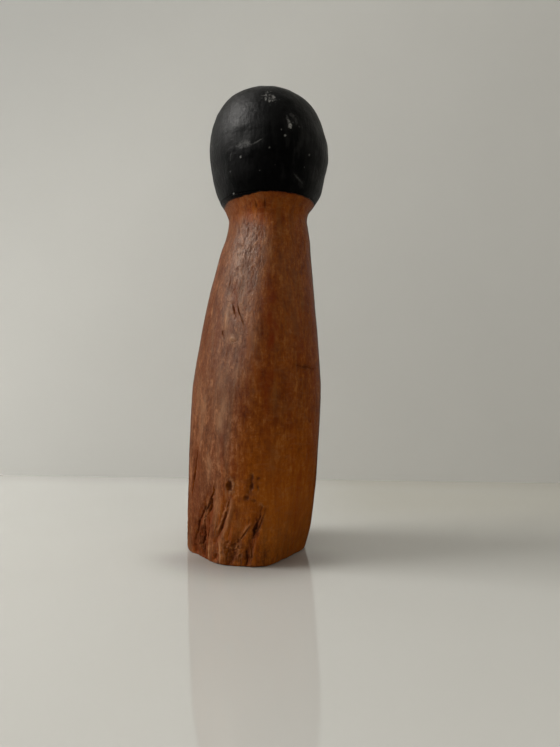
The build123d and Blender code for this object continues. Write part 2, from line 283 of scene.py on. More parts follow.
# pits and knot holes: direction, height, half width, half height, depth, raised lip
PITS = [
    (-107.3, 45.2, 1.95, 3.0, 2.4, 0.55),
    (-88.3, 50.2, 0.95, 1.8, 1.1, 0.12), (-88.0, 45.2, 0.95, 2.0, 1.2, 0.15), (-82.6, 49.7, 0.8, 0.9, 0.8, 0.08), (-88.4, 47.6, 0.6, 1.4, 0.7, 0.05),
    (-82.8, 44.4, 0.7, 1.3, 0.8, 0.10), (-92.4, 38.8, 1.5, 1.4, 1.1, 0.20), (-85.8, 37.2, 1.2, 0.9, 0.8, 0.15), (-90.3, 42.2, 0.7, 0.9, 0.5, 0.05),
    (-85.0, 47.2, 0.45, 0.7, 0.4, 0.03), (-95.0, 45.0, 0.5, 0.7, 0.35, 0.03),
    (-103.6, 8.6, 2.2, 1.9, 1.0, 0.20), (-98.6, 7.6, 1.7, 2.1, 1.0, 0.20), (-101.0, 11.8, 1.9, 1.3, 0.8, 0.20), (-96.0, 10.8, 1.2, 1.2, 0.7, 0.15),
    (-108.0, 10.0, 1.1, 1.2, 0.6, 0.15), (-100.4, 4.2, 1.2, 1.1, 0.7, 0.15), (-93.6, 6.4, 1.0, 1.2, 0.6, 0.15), (-105.6, 13.6, 0.9, 1.3, 0.6, 0.12),
    (-97.0, 14.2, 0.9, 1.2, 0.5, 0.12), (-110.6, 6.4, 0.9, 1.1, 0.5, 0.12), (-95.4, 2.8, 0.9, 0.9, 0.5, 0.10), (-106.4, 4.6, 0.8, 1.1, 0.5, 0.10),
    (-111.3, 206.3, 0.6, 0.8, 0.35, 0.0), (-90.5, 205.2, 0.55, 0.7, 0.35, 0.0), (-104.0, 199.5, 0.5, 0.6, 0.25, 0.0),
    (-68.0, 128.0, 0.55, 0.7, 0.30, 0.03), (-100.0, 96.5, 0.5, 0.5, 0.30, 0.03), (-112.0, 66.0, 0.6, 0.9, 0.35, 0.04),
    (-56.0, 60.0, 0.6, 0.8, 0.40, 0.04), (-137.0, 96.0, 0.6, 0.8, 0.35, 0.04), (-65.0, 149.5, 0.6, 0.5, 0.30, 0.05),
    (-30.0, 80.0, 0.7, 1.0, 0.5, 0.05), (8.0, 84.0, 0.9, 1.4, 0.9, 0.08), (33.0, 128.0, 0.7, 1.0, 0.5, 0.05),
    (70.0, 40.0, 1.8, 2.6, 1.9, 0.30), (74.0, 33.0, 0.8, 1.2, 0.8, 0.1), (110.0, 118.0, 2.2, 2.9, 1.5, 0.30), (114.0, 111.0, 0.7, 1.1, 0.7, 0.08),
    (125.0, 60.0, 0.8, 1.5, 0.8, 0.08), (150.0, 90.0, 0.7, 1.2, 0.6, 0.06), (88.0, 140.0, 0.6, 0.9, 0.4, 0.04), (40.0, 70.0, 0.7, 1.4, 0.6, 0.06),
    (160.0, 150.0, 0.6, 0.9, 0.4, 0.04), (20.0, 165.0, 0.6, 0.8, 0.4, 0.04), (58.0, 110.0, 0.6, 0.9, 0.45, 0.05),
]


def along(s, z, path):
    """Distance from each point to a path, how far along the path it is from 0 to 1, and on which side it lies."""
    lengths = np.hypot(*np.diff(path, axis=0).T)
    starts = np.concatenate([[0], np.cumsum(lengths)])
    best = np.full(s.shape, 1e9)
    t_best, side_best = np.zeros(s.shape), np.ones(s.shape)
    for i, length in enumerate(lengths):
        a, d = path[i], (path[i + 1] - path[i]) / length
        t = np.clip((s - a[0]) * d[0] + (z - a[1]) * d[1], 0, length)
        ds, dz = s - a[0] - t * d[0], z - a[1] - t * d[1]
        dist = np.hypot(ds, dz)
        near = dist < best
        best = np.where(near, dist, best)
        t_best = np.where(near, (starts[i] + t) / starts[-1], t_best)
        side_best = np.where(near, np.sign(ds * d[1] - dz * d[0]), side_best)
    return best, t_best, side_best


def mark_trunk(theta, z):
    """Depth of carving at each point of the trunk, with how much of it is cavity, raised lip and raw rough wood."""
    turn = (theta + np.pi) % (2 * np.pi) - np.pi
    s = UNROLL * turn
    x, y = np.cos(theta) * 5.8, np.sin(theta) * 5.8  # wraps round without a seam
    depth = np.zeros(z.shape)
    cavity, lip = np.zeros(z.shape), np.zeros(z.shape)

    # knife facets: shallow flats with soft ridges between, longer than wide
    wander = 0.35 * noise(x / 2.0, y / 2.0, z / 40.0, 5)
    facet = cells(x / 2.1 + wander, y / 2.1, z / 34.0, 11)
    strength = 0.5 + 0.5 * smooth(0.5 + fbm(x / 4, y / 4, z / 60, 2, 21))
    depth += 0.34 * strength * (np.clip(facet, 0, 1.0) ** 2 - 0.35)
    # slow unevenness of a hand-cut form
    depth += 0.40 * fbm(x / 3.2, y / 3.2, z / 44.0, 3, 31)
    # small hammered dimples, strongest high on the front left and in patches elsewhere
    dimple = noise(x * 3.4, y * 3.4, z / 2.9, 41) + 0.32 * noise(x * 7.5, y * 7.5, z / 1.4, 42) + 0.5 * noise(x * 1.3, y * 1.3, z / 6.5, 43)
    dimple = smooth((dimple - 0.06) / 0.50)
    patch = smooth(0.45 + 1.1 * fbm(x / 2.6, y / 2.6, z / 30.0, 2, 51))
    front_left = np.exp(-(((np.degrees(turn) + 117) / 22) ** 4)) * smooth((z - 118) / 60) * smooth((203 - z) / 7)
    hammered = np.clip(0.22 * patch + 0.9 * front_left, 0, 1)
    depth -= 0.11 * hammered * dimple
    depth += 0.13 * (0.5 + hammered) * fbm(x * 1.1, y * 1.1, z / 9.0, 2, 61)
    # fibre along the grain, coarser and deeper on the raw wood of the foot
    low = smooth((34 - z) / 30)
    torn = low * (0.25 + 0.75 * smooth((np.cos(theta - np.radians(-122)) + 0.25) / 0.9))
    torn = np.clip(torn + 0.5 * low * smooth(0.2 + fbm(x / 2, y / 2, z / 30, 2, 71)), 0, 1)
    grain = fbm(x * 4.6, y * 4.6, z / 11.0, 3, 81)
    depth += (0.040 + 0.20 * torn) * grain
    depth += (0.050 + 0.22 * torn) * fbm(x * 3.4, y * 3.4, z / 2.7, 3, 84)
    fibre = fbm(x * 2.2 + 0.25 * noise(x, y, z / 9, 3), y * 2.2, z / 26.0, 2, 91)
    depth -= (0.04 + 0.50 * torn) * np.clip(np.abs(fibre) * -3.2 + 0.62, 0, 1) ** 1.5
    depth += 0.030 * fbm(x * 9.5, y * 9.5, z / 3.2, 2, 95)

    blotch = fbm(x * 3.1, y * 3.1, z / 2.3, 3, 1500)
    furrow = np.zeros(z.shape)
    stain = 0.66 * front_left * dimple * smooth((z - 112) / 70)
    stain += 0.34 * np.exp(-(((np.degrees(turn) + 100) / 17) ** 4) - ((z - 27) / 13) ** 4)
    stain += 0.22 * np.exp(-(((np.degrees(turn) + 138) / 18) ** 4) - ((z - 30) / 16) ** 4)
    stain += 0.60 * np.exp(-(((np.degrees(turn) + 150) / 9.5) ** 4) - ((z - 14) / 12) ** 4) * np.clip(0.8 + 1.2 * blotch, 0.3, 1)
    stain += 0.26 * smooth((z - 204.5) / 4.0) * np.clip(0.8 + 0.9 * blotch, 0, 1)
    for n, (path, width, deep) in enumerate(FURROWS):
        path = np.array([(UNROLL * math.radians(a), b) for a, b in path])
        low_c, high_c = path.min(0) - width, path.max(0) + width
        m = (s > low_c[0]) & (s < high_c[0]) & (z > low_c[1]) & (z < high_c[1])
        ss, zz = s[m], z[m]
        wobble = width * (0.16 * noise(zz / 7.0, ss / 12.0, 0.5, 1200 + n) + 0.08 * noise(zz / 2.4, ss / 4.0, 0.5, 1300 + n))
        dist, t, side = along(ss + wobble, zz, path)
        foot_end = np.where(zz < 6, 1.0, np.clip(np.sin(np.pi * np.clip(t, 0.02, 0.98)), 0, 1) ** 0.6)
        across = dist / (0.5 * width)
        trough = smooth(1 - across) * foot_end
        depth[m] -= deep * trough * (0.9 + 0.35 * noise(zz / 3.0, ss / 1.4, 0.5, 1400 + n))
        furrow[m] = np.maximum(furrow[m], trough * min(1.0, deep))

    for n, (path, width, deep, raised, ragged) in enumerate(CUTS):
        path = np.array([(UNROLL * math.radians(a), b) for a, b in path])
        reach = width * 2.4 + 1.0
        low_c, high_c = path.min(0) - reach, path.max(0) + reach
        m = (s > low_c[0]) & (s < high_c[0]) & (z > low_c[1]) & (z < high_c[1])
        if not m.any():
            continue
        ss, zz = s[m], z[m]
        wobble = ragged * width * (0.50 * noise(zz / 3.1, ss / 5.0, 0.5, 200 + n) + 0.34 * noise(zz / 1.2, ss / 1.5, 0.5, 300 + n) + 0.20 * noise(zz / 0.6, ss / 0.8, 0.5, 350 + n))
        dist, t, side = along(ss + wobble, zz, path)
        taper = np.clip(np.sin(np.pi * np.clip(t * 0.96 + 0.02, 0, 1)), 0, 1) ** 0.55
        taper *= np.clip(0.80 + (0.15 + 0.55 * ragged) * noise(zz / 3.4, 0.5, 0.5, 400 + n), 0.12, 1.1)
        half = np.maximum(0.5 * width * taper, 0.12)
        # one wall is steep and the other slopes, as where a sliver has lifted
        across = np.where(side > 0, dist / half, dist / (half * 0.72))
        cut = np.clip(1 - across**1.5, 0, 1)
        depth[m] -= deep * taper * cut * (0.85 + 0.3 * noise(zz / 2.0, ss / 0.9, 0.5, 500 + n))
        cavity[m] = np.maximum(cavity[m], np.clip(cut * 1.35 - 0.15, 0, 1) * np.clip(deep / 1.9, 0.25, 1) * np.clip(0.9 + 1.1 * blotch[m], 0.3, 1))
        edge = np.exp(-(((across - 1.45) / 0.42) ** 2)) * np.where(side > 0, 1.0, 0.35) * taper
        depth[m] += 0.5 * raised * edge
        lip[m] = np.maximum(lip[m], edge * np.clip(raised * 1.6, 0.06, 1))
        spread = np.exp(-((dist / (half + 0.65 + 0.45 * deep)) ** 2)) * np.clip(0.70 + 1.7 * blotch[m], 0, 1.2) * np.clip(deep / 1.5, 0.3, 1)
        stain[m] = np.maximum(stain[m], spread * taper)

    for n, (a, b, half_w, half_h, deep, raised) in enumerate(PITS):
        ds, dz = s - UNROLL * math.radians(a), z - b
        m = (np.abs(ds) < half_w * 3 + 1) & (np.abs(dz) < half_h * 3 + 1)
        if not m.any():
            continue
        ds, dz = ds[m], dz[m]
        q = np.hypot(ds / half_w, dz / half_h) * (1 + 0.34 * noise(ds / 1.0, dz / 1.0, 0.5, 600 + n) + 0.20 * noise(ds / 0.5, dz / 0.5, 0.5, 650 + n))
        cut = np.clip(1 - q**1.8, 0, 1)
        depth[m] -= 0.62 * deep * cut
        cavity[m] = np.maximum(cavity[m], np.clip(cut * 1.3, 0, 1) * np.clip(deep / 2.2, 0.15, 1))
        edge = np.exp(-(((q - 1.35) / 0.3) ** 2)) * (0.55 + 0.45 * np.sign(ds))
        depth[m] += 0.6 * raised * edge
        lip[m] = np.maximum(lip[m], edge * np.clip(raised * 1.6, 0.05, 1))
        stain[m] = np.maximum(stain[m], np.exp(-((q / 1.5) ** 2)) * np.clip(0.8 + 1.4 * blotch[m], 0, 1.1) * np.clip(deep / 1.5, 0.2, 1))

    # darker heartwood about the knots
    for a, b, wide, tall, much in ((-101.5, 8.6, 7.2, 6.4, 1.0), (-150.0, 10.0, 5.5, 9.0, 1.15), (-136.5, 30.0, 4.2, 8.5, 0.75), (-141.5, 14.0, 5.0, 10.0, 1.5), (-131.0, 18.0, 2.6, 9.0, 0.8), (-152.0, 24.0, 3.0, 12.0, 0.7), (-86.0, 24.0, 3.2, 8.0, 0.45), (-112.5, 24.0, 3.0, 9.0, 0.55), (-90.0, 45.0, 4.5, 6.0, 0.45), (-86.0, 9.0, 4.0, 7.0, 0.5), (70.0, 38.0, 6.0, 6.0, 0.7), (111.0, 116.0, 6.0, 7.0, 0.7), (30.0, 10.0, 6.0, 7.0, 0.5)):
        ds = UNROLL * ((turn - math.radians(a) + np.pi) % (2 * np.pi) - np.pi)
        near = np.exp(-((ds / wide) ** 2) - ((z - b) / tall) ** 2)
        stain = np.maximum(stain, np.minimum(much * near, 1) * np.clip(0.62 + 1.9 * blotch, 0, 1))
        depth += 0.35 * min(much, 1) * near * blotch
        if much == 1.0:
            crumb = noise(x * 6.5, y * 6.5, z / 0.9, 1510)
            lip = np.maximum(lip, 0.75 * near * np.clip(2.0 * crumb - 0.35, 0, 1))
            depth += 0.16 * near * crumb

    # ruddier and paler patches in the wood: direction, height, half width and half height in millimetres, how much
    ruddy, faded = np.zeros(z.shape), np.zeros(z.shape)
    for layer, patches in (
        (ruddy, ((-77.0, 136, 3.2, 18, 1.7), (-78, 104, 3.0, 26, 1.0), (-150, 52, 5, 16, 0.8), (-141, 20, 7, 18, 0.9), (-151, 11, 7, 12, 1.3), (-84, 165, 2.6, 16, 0.4), (-20, 150, 6, 46, 0.7), (-24, 88, 7, 40, 0.6), (-163, 145, 7, 30, 0.4),
                 (-101, 92, 4.0, 18, 0.5), (-108, 62, 6, 12, 0.45), (-66, 48, 4, 18, 0.4), (-36, 30, 7, 20, 0.45), (-92, 108, 3.0, 16, 0.45), (-148, 112, 4, 16, 0.35),
                 (-44, 122, 6, 12, 0.4), (40, 150, 8, 30, 0.7), (75, 90, 7, 34, 0.7), (120, 150, 8, 30, 0.6), (150, 60, 8, 26, 0.6), (10, 60, 7, 26, 0.6))),
        (faded, ((-71.4, 121, 3.6, 2.2, 0.7), (-57, 121.6, 4.6, 2.6, 0.7), (-127, 138, 2.2, 9, 0.9), (-117, 127.4, 4.2, 2.4, 0.9), (-125, 98, 3.6, 13, 0.7), (-118, 82, 3.2, 13, 1.1),
                 (-143, 84, 4.0, 20, 0.6), (-131, 60, 2.8, 12, 0.6), (-107, 112, 2.6, 12, 0.4), (-60, 168, 7.5, 24, 0.95), (-52, 190, 6, 14, 0.8), (-60, 92, 9, 18, 0.8),
                 (-52, 136, 6, 14, 0.9), (-112, 156, 2.4, 14, 0.5), (-155, 100, 3, 14, 0.4), (-70, 62, 7, 12, 0.6), (-84, 180, 4, 12, 0.7), (-92, 122, 3, 14, 0.6),
                 (20, 120, 6, 20, 0.6), (60, 130, 6, 18, 0.6), (95, 160, 6, 20, 0.6), (130, 90, 6, 22, 0.6), (168, 120, 6, 24, 0.6), (50, 70, 6, 16, 0.5))),
    ):
        for a, b, wide, tall, much in patches:
            ds = UNROLL * ((turn - math.radians(a) + np.pi) % (2 * np.pi) - np.pi) + 1.6 * noise(z / 11.0, a, 0.5, 1610)
            near = np.exp(-((ds / wide) ** 2) - ((z - b) / tall) ** 2)
            np.maximum(layer, much * near, out=layer)
    soft_blotch = fbm(x * 1.5, y * 1.5, z / 9.0, 3, 1620)
    ruddy *= np.clip(0.75 + 1.3 * soft_blotch, 0, 1.2)
    faded *= np.clip(0.70 - 1.5 * soft_blotch, 0, 1.2)

    # a lifted sliver beside the middle groove of the front, and a pale bar at the foot
    for path, width, up in (
        ([(-104.4, 37.5), (-105.4, 31.0), (-106.8, 25.3), (-110.8, 18.8)], 3.2, 0.60),
        ([(-128.9, 16.5), (-128.5, 8.0), (-128.8, 0.5)], 2.4, 0.60),
        ([(-81.4, 34.8), (-79.2, 35.4), (-77.2, 34.2)], 1.2, 0.35),
        ([(-130.8, 35.5), (-134.4, 29.8), (-138.7, 24.1), (-140.6, 19.6)], 2.2, 0.45),
        ([(-86.6, 24.6), (-89.6, 22.4), (-93.0, 19.4)], 1.4, 0.30),
        ([(-116.0, 13.0), (-113.0, 6.0), (-112.0, 1.0)], 2.0, 0.35),
        ([(-57.2, 133.0), (-55.4, 131.6)], 1.4, 0.18),
        ([(-119.4, 128.6), (-116.4, 126.8)], 3.6, 0.34),
        ([(-129.4, 142.6), (-127.6, 138.0), (-127.0, 133.6)], 2.2, 0.30),
        ([(50.6, 36.0), (50.0, 24.0), (51.6, 14.0)], 1.8, 0.4),
        ([(111.8, 28.0), (112.4, 17.0)], 1.6, 0.35),
    ):
        path = np.array([(UNROLL * math.radians(a), b) for a, b in path])
        dist, t, side = along(s, z, path)
        edge = np.exp(-((dist / (0.5 * width)) ** 2)) * np.clip(np.sin(np.pi * np.clip(t, 0.06, 0.94)), 0, 1) ** 0.5
        depth += up * edge
        lip = np.maximum(lip, edge * 0.8)

    # the neck is smooth where it was turned and sanded under the joint
    calm = smooth((z - 207.5) / 4.0)
    depth *= 1 - 0.9 * calm
    return depth, cavity, lip, torn, furrow, stain, ruddy, faded


# ------------------------------------------------------------------ meshes
def closed_mesh(name, rings, layers, low_cap, high_cap):
    """A closed skin from rings of points, (rows, columns, 3) in millimetres, with a fan to a centre point at each end."""
    rows, cols, _ = rings.shape
    points = rings.reshape(-1, 3)
    extra = [p for p in (low_cap, high_cap) if p is not None]
    points = np.vstack([points] + [np.array(p, float)[None] for p in extra])
    r, c = np.meshgrid(np.arange(rows - 1), np.arange(cols), indexing="ij")
    n = (c + 1) % cols
    quads = np.stack([r * cols + c, r * cols + n, (r + 1) * cols + n, (r + 1) * cols + c], -1).reshape(-1, 4)
    at = rows * cols
    fans = []
    c = np.arange(cols)
    n = (c + 1) % cols
    if low_cap is not None:
        fans.append(np.stack([n, c, np.full(cols, at)], -1))
        at += 1
    if high_cap is not None:
        top = (rows - 1) * cols
        fans.append(np.stack([top + c, top + n, np.full(cols, at)], -1))
    tris = np.vstack(fans) if fans else np.zeros((0, 3), int)
    mesh = bpy.data.meshes.new(name)
    mesh.vertices.add(len(points))
    mesh.vertices.foreach_set("co", (points / 1000).astype(np.float32).ravel())
    loops = np.concatenate([quads.ravel(), tris.ravel()]).astype(np.int32)
    mesh.loops.add(len(loops))
    mesh.loops.foreach_set("vertex_index", loops)
    starts = np.concatenate([np.arange(len(quads)) * 4, len(quads) * 4 + np.arange(len(tris)) * 3]).astype(np.int32)
    mesh.polygons.add(len(starts))
    mesh.polygons.foreach_set("loop_start", starts)
    mesh.polygons.foreach_set("use_smooth", np.ones(len(starts), bool))
    mesh.update(calc_edges=True)
    mesh.validate()
    for layer, values in layers.items():
        values = np.asarray(values, float).ravel()
        values = np.concatenate([values, np.full(len(points) - len(values), values[-1])])
        a = mesh.attributes.new(layer, "FLOAT", "POINT")
        a.data.foreach_set("value", values.astype(np.float32))
    obj = bpy.data.objects.new(name, mesh)
    bpy.context.scene.collection.objects.link(obj)
    return obj


BORE_R, BORE_DEPTH, MOUTH = 6.05, 26.0, 0.8
BORE_X = 13.4


def bore_rings(theta, top_z, sign, cols):
    """Rings that go in over the bore's eased mouth, along its wall and back to its axis; sign is the way in."""
    made = []
    for radius, dz in (
        (BORE_R + MOUTH + 0.05, 0.0), (BORE_R + MOUTH, 0.03), (BORE_R + 0.03, MOUTH - 0.03), (BORE_R, MOUTH + 0.03),
        (BORE_R, 8.0), (BORE_R, 17.0), (BORE_R, BORE_DEPTH - 0.05), (BORE_R - 0.05, BORE_DEPTH), (BORE_R * 0.5, BORE_DEPTH),
    ):
        made.append(np.stack([BORE_X + radius * np.cos(theta), radius * np.sin(theta), np.full(cols, top_z + sign * dz)], -1))
    return made


def build_trunk():
    front = lambda a: np.where((a > np.radians(-168)) & (a < np.radians(-58)), 0.30, 0.43) / UNROLL
    theta = spaced(-np.pi, np.pi, front)[:-1]
    cols = len(theta)
    up = spaced(3.4, JOINT_Z - 0.25, lambda h: np.where(h < 64, 0.33, np.where(h < 120, 0.50, 0.46)))
    rim = 3.4 * (1 - np.cos(np.linspace(0, np.pi / 2, 13)))[:-1]
    heights = np.concatenate([rim, up])
    T, Z = np.meshgrid(theta, heights)
    reach, xc, yc = section(T, Z)
    depth, cavity, lip, torn, furrow, stain, ruddy, faded = mark_trunk(T, Z)
    turns, drops = np.array(OVERRUN, float).T
    edge = JOINT_Z - np.interp(np.degrees(T), turns, drops) + 0.45 * fbm(np.cos(T) * 11, np.sin(T) * 11, 0.5, 4, 116)
    overrun = smooth(0.5 + (Z - edge) / 0.5)
    # the worn edge round the foot, tighter and looser by turns
    edge = 0.95 + 0.6 * fbm(np.cos(T) * 2.4, np.sin(T) * 2.4, 0.5, 3, 111) + 0.4 * noise(np.cos(T) * 8, np.sin(T) * 8, 0.5, 112)
    edge = np.clip(edge, 0.4, 2.0)
    inset = np.where(Z < edge, edge - np.sqrt(np.clip(edge**2 - (edge - Z) ** 2, 0, None)), 0)
    fade = smooth(Z / 1.6)
    radius = reach - inset + depth * (0.25 + 0.75 * fade)
    rows = np.stack([xc + radius * np.cos(T), yc + radius * np.sin(T), Z], -1)
    side = [rows]
    # under the foot: flat, with a faint hollow so that it rests on its rim
    foot = rows[0]
    centre = np.array([foot[:, 0].mean(), foot[:, 1].mean(), 0.0])
    under = []
    for share in (0.10, 0.32, 0.52, 0.70, 0.84, 0.93, 0.975):
        ring = centre + (foot - centre) * share
        wide = share * 34
        lift = 0.10 * smooth((1 - share) * 6) + 0.05 * (1 + noise(ring[:, 0] / 7, ring[:, 1] / 1.8, 0.5, 121)) * smooth((1 - share) * 8)
        ring[:, 2] = np.maximum(lift, 0)
        under.append(ring)
    # the joint face at the top and the bore in it
    lipped = rows[-1]
    axis = np.array([BORE_X, 0.0, 0.0])
    flat = []
    for drop, share in ((0.03, 0.9992), (0.0, 0.9968), (0.0, 0.90), (0.0, 0.70), (0.0, 0.48)):
        ring = lipped.copy()
        ring[:, :2] = axis[:2] + (lipped[:, :2] - axis[:2]) * share
        ring[:, 2] = JOINT_Z - drop
        flat.append(ring)
    flat += bore_rings(theta, JOINT_Z, -1, cols)
    rings = np.concatenate([np.array(under), rows, np.array(flat)])
    pad_low, pad_high = np.zeros((len(under), cols)), np.zeros((len(flat), cols))
    layers = {
        "cavity": np.concatenate([pad_low, cavity, pad_high]),
        "lip": np.concatenate([pad_low, lip, pad_high]),
        "torn": np.concatenate([pad_low + 0.8, torn, pad_high + 0.4]),
        "furrow": np.concatenate([pad_low, furrow, pad_high]),
        "relief": np.concatenate([pad_low, depth, pad_high]),
        "overrun": np.concatenate([pad_low, overrun, np.repeat(overrun[-1:], len(flat), 0)]),
        "stain": np.concatenate([pad_low + 0.3, stain, pad_high]),
        "ruddy": np.concatenate([pad_low, ruddy, pad_high]),
        "faded": np.concatenate([pad_low, faded, pad_high]),
    }
    return closed_mesh("trunk", rings, layers, (centre[0], centre[1], 0.12), (BORE_X, 0.0, JOINT_Z - BORE_DEPTH))


# ------------------------------------------------------------------ head
def meridian():
    """Evenly spaced heights up the head, from the joint to just short of the crown."""
    down = np.linspace(0, 1, 6001)
    z = HEAD_TOP - (HEAD_TOP - JOINT_Z) * down**2
    r = np.sqrt(np.clip(hermite(HEAD[:, 0], HEAD[:, 2] ** 2, z), 0, None))
    step = np.hypot(np.diff(r), np.diff(z))
    arc = np.concatenate([[0], np.cumsum(step)])
    return arc, z


# paint marks: where (direction, height), size across, size up, depth, how much ground coat shows
CHIPS = [
    (-69.9, 246.4, 1.15, 1.35, 0.24, 0.62), (-70.6, 248.6, 0.85, 1.9, 0.12, 0.26), (-71.6, 251.6, 0.7, 1.5, 0.06, 0.09),
    (-66.0, 253.4, 1.9, 1.3, 0.04, 0.06), (-62.8, 250.4, 1.0, 2.4, 0.04, 0.05), (-66.4, 249.0, 0.5, 0.7, 0.05, 0.10), (-60.4, 247.4, 0.6, 0.6, 0.05, 0.07),
    (-74.8, 240.7, 0.62, 0.58, 0.22, 0.50), (-116.1, 230.2, 0.60, 0.55, 0.22, 0.24), (-47.9, 233.2, 0.55, 0.5, 0.20, 0.20),
    (-77.8, 243.9, 0.40, 0.36, 0.15, 0.30), (-88.3, 233.7, 0.50, 0.40, 0.15, 0.26), (-98.0, 222.0, 0.35, 0.3, 0.12, 0.16),
    (-52.0, 226.0, 0.35, 0.3, 0.12, 0.16), (-130.0, 224.0, 0.4, 0.4, 0.12, 0.16), (-83.0, 225.0, 0.3, 0.3, 0.12, 0.12), (-132.0, 212.5, 0.8, 0.6, 0.10, 0.22),
    (20.0, 243.0, 0.7, 1.1, 0.24, 0.9), (24.0, 238.5, 0.4, 0.4, 0.16, 0.7), (66.0, 254.0, 0.6, 0.5, 0.2, 0.8), (95.0, 231.0, 0.45, 0.45, 0.18, 0.7),
    (118.0, 246.0, 0.7, 0.5, 0.22, 0.35), (121.0, 242.0, 0.35, 0.35, 0.14, 0.25), (163.0, 225.0, 0.5, 0.6, 0.2, 0.35), (172.0, 250.0, 0.4, 0.4, 0.15, 0.6),
    (140.0, 222.0, 0.4, 0.4, 0.15, 0.5), (48.0, 222.0, 0.45, 0.4, 0.16, 0.6), (-20.0, 256.0, 0.4, 0.5, 0.15, 0.5), (-8.0, 228.0, 0.4, 0.4, 0.15, 0.6),
    (-160.0, 244.0, 0.45, 0.4, 0.15, 0.5), (-150.0, 262.0, 0.4, 0.4, 0.15, 0.5), (40.0, 266.0, 0.5, 0.45, 0.16, 0.6), (80.0, 243.0, 0.3, 0.3, 0.12, 0.4),
]
# scratches and brushed scuffs on the paint: path, width, depth, how pale
SCRATCHES = [
    ([(-105.9, 235.7), (-103.0, 236.2), (-100.0, 237.0), (-97.0, 237.9), (-94.1, 238.6)], 0.75, 0.10, 0.17),
    ([(-119.8, 236.4), (-115.6, 237.0), (-111.6, 237.5), (-107.7, 236.8), (-105.0, 235.7)], 4.2, 0.10, 0.075),
    ([(-116.5, 234.9), (-112.0, 235.6), (-108.0, 235.2)], 2.2, 0.08, 0.05),
    ([(-113.0, 237.9), (-109.0, 237.2), (-105.4, 236.0)], 1.5, 0.08, 0.10),
    ([(-119.7, 237.3), (-123.6, 237.0), (-127.6, 236.3), (-131.0, 235.4), (-134.0, 233.6)], 1.4, 0.05, 0.010),
    ([(-124.6, 234.6), (-127.0, 232.0), (-128.0, 229.5)], 0.6, 0.06, 0.07),
    ([(-63.0, 221.4), (-57.4, 219.2), (-51.0, 217.6)], 1.5, 0.05, 0.09),
    ([(-36.0, 229.0), (-31.6, 226.0), (-33.0, 219.5)], 0.9, 0.05, 0.05),
    ([(-27.0, 240.0), (-24.0, 232.0), (-26.0, 224.0)], 1.3, 0.05, 0.06),
    ([(12.0, 250.0), (18.0, 246.0), (24.0, 244.6)], 0.6, 0.08, 0.4),
    ([(84.0, 248.0), (90.0, 243.0), (97.0, 241.5)], 0.7, 0.08, 0.4),
    ([(104.0, 262.5), (107.5, 257.0), (110.0, 251.0)], 0.6, 0.06, 0.16),
    ([(165.0, 258.0), (172.0, 255.5)], 0.6, 0.07, 0.35),
    ([(60.0, 232.0), (62.0, 226.0)], 0.5, 0.05, 0.25),
]


def head_point(turn, z):
    z = np.asarray(z, float)
    r = np.sqrt(np.clip(hermite(HEAD[:, 0], HEAD[:, 2] ** 2, z), 0, None))
    x = hermite(HEAD[:, 0], HEAD[:, 1], z)
    a = np.radians(turn)
    return np.stack([x + r * np.cos(a), r * np.sin(a), z * np.ones_like(r)], -1)


